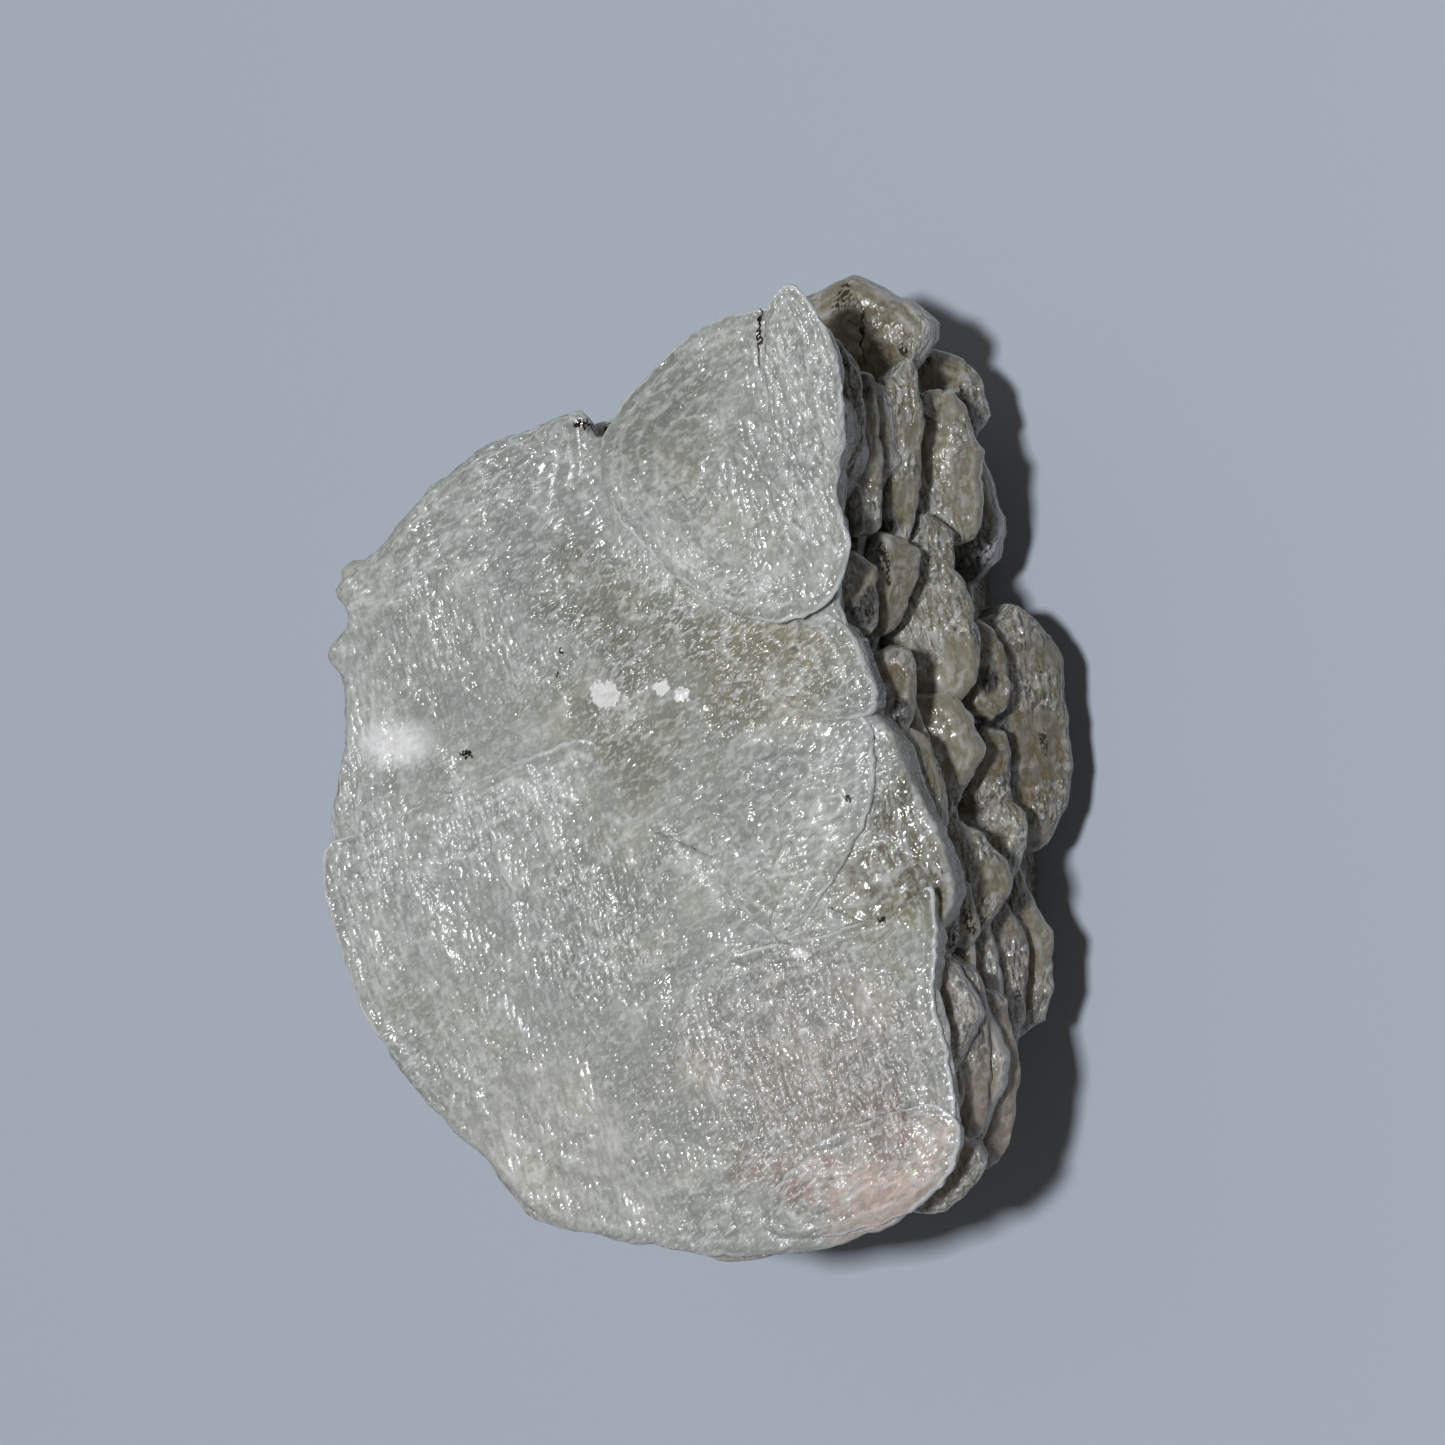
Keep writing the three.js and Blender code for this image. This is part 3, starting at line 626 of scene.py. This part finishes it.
def chips(points, size, seed):
    """Height of flat chips that lean at random: a middle is set at random in each cube of a size, and at
    each point the nearest middle's random lean is multiplied with the way from it."""
    at = points / size
    corner = np.floor(at).astype(np.int64)
    nearest = np.full(len(at), np.inf)
    height = np.zeros(len(at))
    for step in np.ndindex(3, 3, 3):
        i = corner + step - 1
        mixed = (i * [73856093, 19349663, 83492791]).sum(1) + seed * 97531
        mixed = ((mixed ^ (mixed >> 15)) * 1274126177) & 0xFFFFFFFF
        mixed ^= mixed >> 13
        draws = [(mixed * (668265263 + 2 * k) & 0xFFFFFFFF) / 0xFFFFFFFF for k in range(6)]
        way = at - i - np.stack(draws[:3], 1)
        distance = (way * way).sum(1)
        closer = distance < nearest
        nearest = np.where(closer, distance, nearest)
        height = np.where(closer, (way * (np.stack(draws[3:], 1) - 0.5)).sum(1), height)
    return height * size


stain_and_shade_share = np.bincount(corner_vertex, growth[:, 2], len(points)) / corners_at
# Zones of the front: middle, half sizes and turn in degrees; then how bright the stone is, how olive,
# how rosy, how lively its surface glints, and how upright its growth lines run. PLAIN is the same five
# off the zones, with its weight.
CONTRAST = 1.5
PLAIN = np.array([1, 0.1, 0.05, 0.5, 0.3])
PLAIN_WEIGHT = 0.3
ZONES = [
    ((0.9, 13.2), (2.4, 4.4), 0, 0.72, 0.3, 0.0, 0.15, 0),
    ((7, 12.8), (1.8, 5.5), 0, 1.02, 0.1, 0.0, 0.45, 1),
    ((0.7, 9.2), (3.2, 1.1), -48, 1.4, 0.0, 0.0, 1.0, 1),
    ((4.6, 7.2), (2.4, 0.9), -12, 1.32, 0.1, 0.0, 1.0, 0),
    ((-6, 9.9), (3.8, 3.0), 35, 0.90, 0.0, 0.0, 0.5, 0),
    ((-8.2, 4.7), (4.3, 2.6), 0, 0.98, 0.0, 0.0, 0.4, 1),
    ((0.2, 5.6), (3.6, 1.5), -25, 0.72, 0.5, 0.0, 1.0, 0),
    ((5.7, 3.9), (3.2, 2.0), 0, 0.84, 1.0, 0.15, 0.9, 0),
    ((0, 1.1), (3.0, 1.8), -20, 0.85, 0.6, 0.0, 0.7, 0),
    ((5.9, -1.3), (3.4, 4.0), 0, 0.98, 0.1, 0.0, 0.25, 0),
    ((5.7, -4.4), (2.8, 1.2), 28, 1.2, 0.2, 0.0, 0.6, 0),
    # This dark olive zone right of the shield is a painted shadow.
    ((11, -2.9), (1.3, 2.8), 0, 0.48, 1.0, 0.2, 0.1, 1),
    ((-8.3, -3.2), (4.5, 1.6), 25, 1.06, 0.0, 0.0, 0.5, 1),
    ((-6.5, -6.5), (5.0, 3.2), -30, 1.02, 0.0, 0.0, 0.25, 1),
    ((-2.6, -6.5), (2.8, 2.2), -35, 0.92, 0.1, 0.0, 1.0, 1),
    ((-0.8, -3.5), (2.2, 1.6), -35, 0.86, 0.2, 0.0, 0.8, 1),
    ((6.5, -11.3), (4.8, 3.2), 15, 0.97, 0.0, 0.4, 0.75, 1),
    ((-3.4, -14.9), (4.8, 2.6), -20, 1.1, 0.0, 0.15, 0.2, 1),
    ((-12.2, -4), (1.2, 8), -5, 1.14, 0.0, 0.0, 0.5, 1),
    ((10.2, -16.4), (3.4, 2.0), 20, 1.1, 0.0, 1.0, 0.25, 0),
    ((9.6, -13.4), (1.5, 1.2), 0, 0.78, 0.2, 1.0, 1.0, 1),
    ((5.7, -15.4), (1.4, 0.9), 0, 0.80, 0.2, 1.0, 1.0, 0),
    ((11.1, -5.6), (1.7, 1.2), 0, 0.84, 1.0, 0.0, 0.15, 1),
]
# Brown clay caught in the gaps of the edge: the middle of each spot and its reach.
SPOTS = [((8.1, 16.3, 19.6), 0.6), ((8.2, 15.3, 17.6), 0.5), ((8.3, 5.8, 19.6), 0.9), ((9.6, 4.9, 21), 0.7),
         ((9.9, 4, 20.8), 0.8), ((10.2, 3.1, 21), 0.8), ((8.2, 9.7, 14.8), 0.4), ((8.3, 8, 7.1), 0.8),
         ((9.1, 8.9, 6.7), 0.6), ((10.9, 5.1, 12.4), 0.6), ((10.3, 3.5, 10.4), 0.5), ((9.9, 2.1, 18.4), 0.6),
         ((9.9, 1.7, 9.8), 0.6), ((10.9, -0.6, 9.6), 0.4), ((12.4, -4, 18.3), 0.5),
         ((-1.9, 13.4, 21.6), 0.6), ((9, 6.6, 18.8), 0.5)]

# The colours of the stone and of what stains and covers it, and of its painted shade and highlights
COOL = np.array([0.40, 0.425, 0.408])
OLIVE = np.array([0.35, 0.335, 0.215])
ROSE = np.array([0.52, 0.385, 0.34])
AMBER_STAIN_AND_SHADE = np.array([0.27, 0.235, 0.155])
BEIGE = np.array([0.40, 0.32, 0.27])
STAIN_AND_SHADE = np.array([0.15, 0.115, 0.06])
CLAY_AND_SHADE = np.array([0.018, 0.011, 0.006])
FROST_AND_HIGHLIGHT = np.array([0.82, 0.84, 0.85])
SNOW = np.array([0.90, 0.91, 0.92])
GLASSY_AND_SHADE = np.array([0.30, 0.32, 0.30])


def zone_marks(xy):
    """Brightness, olive, rosy, lively and upright at each place: the mean of the zones, each by its
    weight, which is e to minus the fourth power of the reach in its oval."""
    xy = xy + 1.2 * np.column_stack([noise(xy, 2.2, 31), noise(xy, 2.2, 32)])
    xy += 0.5 * np.column_stack([noise(xy, 0.8, 33), noise(xy, 0.8, 34)])
    weight = np.full(len(xy), PLAIN_WEIGHT)
    total = PLAIN_WEIGHT * PLAIN * np.ones((len(xy), 1))
    for middle, half, turn, bright, *marks in ZONES:
        x, y = (xy - middle).T
        a = np.radians(turn)
        u, v = (x * np.cos(a) + y * np.sin(a)) / half[0], (y * np.cos(a) - x * np.sin(a)) / half[1]
        part = np.exp(-(u * u + v * v) ** 2)
        total += part[:, None] * np.array([1 + CONTRAST * (bright - 1), *marks])
        weight += part
    return (total / weight[:, None]).T


def streaks(points, angle, stretch, size, seed):
    """Noise drawn out by a stretch along a line at an angle from X in the plane of the front."""
    a = np.radians(angle)
    u = points[:, 0] * np.cos(a) + points[:, 1] * np.sin(a)
    v = points[:, 1] * np.cos(a) - points[:, 0] * np.sin(a)
    return noise(np.column_stack([u / stretch, v, points[:, 2]]), size, seed)


# facing is 1 where the skin looks up, and wall where it stands upright. hollow and dent are how deep a
# place lies in the skin round it, broadly and finely, in millimetres. clouds is noise in lumps, bands
# follows the plates' edges, and wisp is drawn out along the growth lines.
facing = np.clip(normals[:, 2], 0, 1)
wall = np.sqrt(np.clip(1 - normals[:, 2] ** 2, 0, 1))
hollow = ((eased(points, edges, 20) - points) * normals).sum(1)
dent = ((eased(points, edges, 3) - points) * normals).sum(1)
bright, olive, rosy, lively, upright = zone_marks(points[:, :2])
on_wall = stain_and_shade_share > 0.05
upright = np.where(on_wall, 1, upright)
slanting = streaks(points, 30, 3, 0.8, 16) + 0.5 * streaks(points, 30, 2.5, 0.4, 17)
standing = streaks(points, 105, 3, 0.8, 18) + 0.5 * streaks(points, 105, 2.5, 0.4, 19)
wisp = slanting + (standing - slanting) * upright
bands = noise(np.column_stack([2.2 * from_edge, points[:, 0] / 4, points[:, 1] / 4]), 1, 11)
clouds = noise(points, 2.4, 12) + 0.6 * noise(points, 1.1, 13) + 0.4 * noise(points, 0.5, 14)

# The relief: creases and growth lines, lamellae in the walls, growth steps that follow an edge and fade
# away from it, thin scales on what faces up, and chips that lean at random.
STEP_PITCH = 0.9
creases = 0.03 * (1 - 2 * abs(noise(points, 1.5, 1))) + 0.02 * noise(points, 0.8, 2)
creases += (0.012 + 0.02 * lively) * wisp
lamellae = 0.05 * noise(points * [0.3, 0.3, 2.2], 1, 4) * wall
step = (from_edge + 0.7 * noise(points, 3, 5) + 0.25 * noise(points, 1, 6)) / STEP_PITCH
near_edge = 1 - rise(from_edge, 2.5, 5.5)
steps = (0.07 * (step - np.floor(step)) - 0.03 * bands) * near_edge * facing**3
waved = points[:, :2] + 0.3 * np.column_stack([noise(points, 0.8, 20), noise(points, 0.8, 21)])
scales, scale_rims = facing**3 * shingles(waved, count=300, seed=8)
lumps = (0.1 + 0.06 * stain_and_shade_share) * np.clip((from_edge - 0.1) / 0.6, 0, 1) * chips(points, 0.9, 9)

# The colour of each place: the body's, then what covers it, each by its share. The walls are darker to
# the right and turn amber there, as warm painted shade for light coming through them with some stain,
# and beige at their lower end. Steep faces and the shaded plates are stained dark brown, partly stain
# and partly painted shade. Convex corners are painted pale, partly frost and partly painted highlight;
# growth steps and the rims of thin scales are frosted. Dents in the walls are painted darker, partly
# stain and partly painted shade, and clay fills the spots and the deepest gaps, where its dark is also
# painted shade.
right = rise(points[:, 0] + 1.5 * clouds, 0, 6)
tone = np.where(on_wall, 1.35 - 0.4 * right, bright)
tone = tone * (1 + 0.11 * clouds + 0.10 * bands * near_edge + 0.12 * wisp)
colour = COOL * np.ones((len(points), 1))
for share, other in (
        (np.clip(olive + 0.15 * clouds, 0, 1), OLIVE),
        (np.clip(rosy * (1 + 0.4 * clouds), 0, 1), ROSE)):
    colour += (other - colour) * share[:, None]
colour *= tone[:, None]
side_stain_and_shade = np.clip(np.maximum(stain_and_shade_share, 0.45 * rise(1 - facing, 0.25, 0.6)) * (1 + 0.35 * clouds), 0, 1)
for share, other in (
        (0.85 * on_wall * right, AMBER_STAIN_AND_SHADE),
        (0.7 * on_wall * rise(-points[:, 1] + 1.5 * clouds, 6, 9) * right, BEIGE),
        (side_stain_and_shade * (0.3 + 0.6 * right), STAIN_AND_SHADE),
        (0.4 * rise(-hollow + 0.05 * clouds, 0.25, 0.6) * (1 - 0.8 * on_wall), FROST_AND_HIGHLIGHT),
        (0.4 * near_edge * facing * (1 - rise(abs(step - np.round(step)), 0.03, 0.14)), FROST_AND_HIGHLIGHT),
        (0.55 * scale_rims * rise(wisp + 0.5 * clouds, -0.3, 0.7), FROST_AND_HIGHLIGHT),
        (0.3 * on_wall * rise(dent + 0.015 * clouds, 0.03, 0.1), STAIN_AND_SHADE),
        (rise(hollow + 0.12 * clouds + 0.3 * side_stain_and_shade * right, 0.38, 0.48), CLAY_AND_SHADE)):
    colour += (other - colour) * share[:, None]
for middle, reach in SPOTS:
    way = np.linalg.norm(points - middle, axis=1) / reach + 0.35 * clouds + 0.3 * wisp
    colour += (CLAY_AND_SHADE - colour) * (1 - rise(way, 0.8, 1.1))[:, None]
lively_wall = 1.5 * rise(noise(points, 1.5, 10), -0.3, 0.4)
lively = np.where(on_wall, lively_wall, lively * (0.8 + 0.6 * noise(points, 1.6, 15)))

# The underside is worn flat, and the stone is set in the middle of its frame and kept under its top.
points += normals * (creases + lamellae - steps + scales + lumps)[:, None]
points[:, 2] = np.maximum(points[:, 2], 0)
middle = (points.min(0) + points.max(0)) / 2
cad_middle = np.array((cad_low + cad_high) / 2) / MM
points[:, :2] += cad_middle[:2] - middle[:2]
points[:, 2] *= min(1, cad_high.z / MM / points[:, 2].max())
stone.vertices.foreach_set("co", (points * MM).ravel())
# "body" is the colour of each place, and "marks" how lively it glints, how upright its growth lines run,
# and the noise of those lines.
body = stone.attributes.new("body", "FLOAT_COLOR", "POINT")
body.data.foreach_set("color", np.column_stack([colour, np.ones(len(points))]).ravel())
marks = stone.attributes.new("marks", "FLOAT_VECTOR", "POINT")
marks.data.foreach_set("vector", np.column_stack([np.clip(lively, 0, 1), upright, wisp]).ravel())
stone.update()
stone.shade_smooth()
SHARP_FROM = np.radians(48)
stone.set_sharp_from_angle(angle=SHARP_FROM)
crystal = bpy.data.objects.new("crystal", stone)
bpy.context.scene.collection.objects.link(crystal)


class Value:
    """One output of a shader node. +, - and * of it with a number or another add a Math node."""

    def __init__(self, paint, socket):
        self.paint = paint
        self.socket = socket

    def of(self, name):
        """Another output of the same node."""
        return Value(self.paint, self.socket.node.outputs[name])

    def math(self, operation, first, second):
        """A Math node on two numbers or values."""
        return self.paint.node("ShaderNodeMath", {"operation": operation}, {0: first, 1: second})

    def __add__(self, other):
        return self.math("ADD", self, other)

    def __sub__(self, other):
        return self.math("SUBTRACT", self, other)

    def __rsub__(self, other):
        return self.math("SUBTRACT", other, self)

    def __mul__(self, other):
        return self.math("MULTIPLY", self, other)

    __radd__ = __add__
    __rmul__ = __mul__

    def between(self, low, high):
        """0 below low, 1 above high and eased between them."""
        return self.paint.node("ShaderNodeMapRange", {"interpolation_type": "SMOOTHSTEP"},
                               {"Value": self, "From Min": low, "From Max": high})


class Paint:
    """A material and its nodes."""

    def __init__(self, name):
        self.material = bpy.data.materials.new(name)
        self.material.use_nodes = True
        self.nodes = self.material.node_tree.nodes
        self.shader = self.nodes["Principled BSDF"]

    def fill(self, socket, value):
        """Links a value to a socket, or sets a number or a colour on it."""
        if isinstance(value, Value):
            self.material.node_tree.links.new(value.socket, socket)
        elif socket.type == "RGBA":
            socket.default_value = (*value, 1)
        else:
            socket.default_value = value

    def node(self, kind, settings, sockets):
        """The first live output of a new node, once it has its settings, and its sockets their values
        or links, by name or number."""
        node = self.nodes.new(kind)
        for setting, value in settings.items():
            setattr(node, setting, value)
        for key, value in sockets.items():
            self.fill(node.inputs[key], value)
        return Value(self, next(output for output in node.outputs if output.enabled))

    def mix(self, share, low, high):
        """Between two colours, by a share."""
        return self.node("ShaderNodeMix", {"data_type": "RGBA"}, {0: share, 6: low, 7: high})

    def vector(self, operation, *operands):
        """A Vector Math node on its operands in order."""
        return self.node("ShaderNodeVectorMath", {"operation": operation}, dict(enumerate(operands)))

    def finish(self, sockets):
        """Fills the sockets of the material's own shader."""
        for key, value in sockets.items():
            self.fill(self.shader.inputs[key], value)


# White blooms and scales on the front, each with its middle, half sizes and how soft its border is, and
# dark specks and a crack. Then the sizes of the crinkle and the grain, in millimetres.
BLOOMS = [((-9.9, 0.8), (1.5, 0.8), 0.7), ((-0.46, 2.8), (0.62, 0.55), 0.08),
          ((2.06, 3.1), (0.34, 0.3), 0.06), ((2.9, 2.8), (0.3, 0.28), 0.06),
          ((7.5, -7.5), (0.36, 0.22), 0.06)]
SPECKS = [((-6.75, 0.42), (0.26, 0.13)), ((10.95, -6.1), (0.24, 0.1)), ((9.78, -1.3), (0.2, 0.1)),
          ((6.7, 17.1), (0.06, 1.4)), ((-2.6, 3.6), (0.08, 0.1)), ((-2.4, 4.6), (0.06, 0.09)),
          ((-1.6, 13.6), (0.3, 0.16))]
SPECK_BORDER = 0.15
CRINKLE = 0.2
GRAIN = 0.11
CHIPS_PER_MM = 4.2


def crystal_paint():
    """Clear borate, crinkled and chipped by its cleavage. Light scatters inside it, and its colour is what
    the skin's "body" says, crossed by pale threads and dark ones, with pale flecks that are partly painted
    glints, chips painted lighter or darker by their lean as painted facet shading, and a bright rim round
    each plate painted as a highlight, with a darker glassy band inside it as painted shade."""
    paint = Paint("crystal")
    place = paint.node("ShaderNodeTexCoord", {}, {}).of("Object")
    mm = paint.node("ShaderNodeVectorMath", {"operation": "SCALE"}, {0: place, "Scale": 1 / MM})

    def drawn_out(turn, stretch, tip=0.0):
        """The place in millimetres, pressed along a line at a turn in degrees from X, and tipped about X
        and Y, in radians."""
        return paint.node("ShaderNodeMapping", {"vector_type": "TEXTURE"}, {
            "Vector": mm, "Rotation": (tip, tip, np.radians(turn)), "Scale": (stretch, 1, 1)})

    def field(size, turn, stretch):
        """Noise with lumps of a size in millimetres, drawn out along a line at a turn."""
        return paint.node("ShaderNodeTexNoise", {}, {
            "Vector": drawn_out(turn, stretch), "Scale": 1 / size, "Detail": 0.0, "Roughness": 0.45})

    def patch(middle, half, soft):
        """1 on an oval of the front and 0 off it, with a wavering border."""
        way = paint.vector("SUBTRACT", bent, (*middle, 0))
        reach = paint.vector("LENGTH", paint.vector("MULTIPLY", way, (1 / half[0], 1 / half[1], 0)))
        return 1 - reach.of("Value").between(1 - soft, 1 + soft)

    body = paint.node("ShaderNodeAttribute", {"attribute_name": "body"}, {}).of("Color")
    growth = paint.node("ShaderNodeAttribute", {"attribute_name": "growth"}, {}).of("Vector")
    from_edge = paint.node("ShaderNodeSeparateXYZ", {}, {0: growth})
    marks = paint.node("ShaderNodeAttribute", {"attribute_name": "marks"}, {}).of("Vector")
    lively = paint.node("ShaderNodeSeparateXYZ", {}, {0: marks})
    upright, wisp = lively.of("Y"), lively.of("Z")
    wall = from_edge.of("Z").between(0.0, 0.1)
    rim_highlight = from_edge.of("Y")
    front_share = 1 - 0.6 * wall

    # crinkle is blended from two directions, and each chip is a cell whose plane leans at random
    crinkle = field(CRINKLE, 30, 2.2) * (1 - upright) + field(CRINKLE, 105, 2.2) * upright
    grain = field(GRAIN, 60, 1.6)
    offset = paint.node("ShaderNodeCombineXYZ", {}, {"X": crinkle - 0.5, "Y": grain - 0.5})
    bent = paint.vector("MULTIPLY_ADD", offset, (0.5, 0.5, 0), mm)
    at = paint.vector("MULTIPLY", drawn_out(70, 1.3, tip=0.6), (CHIPS_PER_MM, CHIPS_PER_MM, 0))
    cell = paint.node("ShaderNodeTexVoronoi", {"voronoi_dimensions": "2D"}, {"Vector": at, "Scale": 1.0})
    lean = paint.vector("SUBTRACT", cell.of("Color"), (0.5, 0.5, 0.5))
    chip = paint.vector("DOT_PRODUCT", lean, paint.vector("SUBTRACT", at, cell.of("Position"))).of("Value")
    shade = paint.node("ShaderNodeSeparateXYZ", {}, {0: lean})

    # pale threads and flecks of cleavage inside, and dark ones that let the eye in. The pale flecks of the
    # grain grow with how lively the surface glints and are partly painted glints, and each chip is painted
    # lighter or darker by which way its plane leans, as painted facet shading
    colour = paint.mix((1 - crinkle.between(0.3, 0.45)) * (0.3 + 0.35 * lively), body, GLASSY_AND_SHADE)
    colour = paint.mix(crinkle.between(0.55, 0.7) * (0.25 + 0.35 * lively) * front_share, colour, FROST_AND_HIGHLIGHT)
    colour = paint.mix(grain.between(0.6, 0.72) * (0.1 + 0.6 * lively) * front_share, colour, FROST_AND_HIGHLIGHT)
    colour = paint.mix((1 - grain.between(0.26, 0.36)) * (0.1 + 0.5 * lively), colour, GLASSY_AND_SHADE)
    colour = paint.mix((shade + 0.5).between(0.55, 1.0) * (0.15 + 0.2 * lively), colour, FROST_AND_HIGHLIGHT)
    colour = paint.mix((shade + 0.5).between(0.45, 0.0) * (0.1 + 0.2 * lively), colour, GLASSY_AND_SHADE)

    # in from each rim: a darker glassy band as a painted shadow line, a thin pale second line, and the
    # bright rim itself over them as a painted highlight
    inward = from_edge + 0.1 * wisp
    band = inward.between(0.12, 0.2) * (1 - inward.between(0.4, 0.55))
    colour = paint.mix(band * rim_highlight * 0.35, colour, GLASSY_AND_SHADE)
    second = paint.node("ShaderNodeMath", {"operation": "ABSOLUTE"}, {0: inward - 0.6})
    colour = paint.mix((1 - second.between(0.02, 0.1)) * rim_highlight * 0.22, colour, FROST_AND_HIGHLIGHT)
    colour = paint.mix((1 - inward.between(0.05, 0.17)) * rim_highlight * 0.85, colour, FROST_AND_HIGHLIGHT)

    # white blooms, and clay in dots on the walls and in specks
    for middle, half, soft in BLOOMS:
        colour = paint.mix(patch(middle, half, soft) * (0.5 + crinkle), colour, SNOW)
    dots = wisp.between(0.75, 0.85) * wall * grain.between(0.45, 0.55)
    colour = paint.mix(dots * 0.9, colour, CLAY_AND_SHADE)
    for middle, half in SPECKS:
        colour = paint.mix(patch(middle, half, SPECK_BORDER), colour, CLAY_AND_SHADE)

    height = crinkle * (0.03 + 0.22 * lively) + grain * (0.01 + 0.05 * lively) + wisp * 0.03
    height = height + chip * (0.02 + 0.13 * lively + 0.06 * wall)
    bump = paint.node("ShaderNodeBump", {}, {"Strength": 1.0, "Distance": MM, "Height": height})
    rough = 0.18 + 0.12 * wisp.between(-0.6, 0.6)
    paint.finish({"Base Color": colour, "Roughness": rough, "Normal": bump, "IOR": 1.54,
                  "Transmission Weight": 0.22, "Specular IOR Level": 0.42, "Subsurface Weight": 0.45,
                  "Subsurface Radius": (1.0, 0.95, 0.8), "Subsurface Scale": 0.9 * MM})
    return paint.material


stone.materials.clear()
stone.materials.append(crystal_paint())
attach(crystal, "root")
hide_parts("tunellite_crystal")
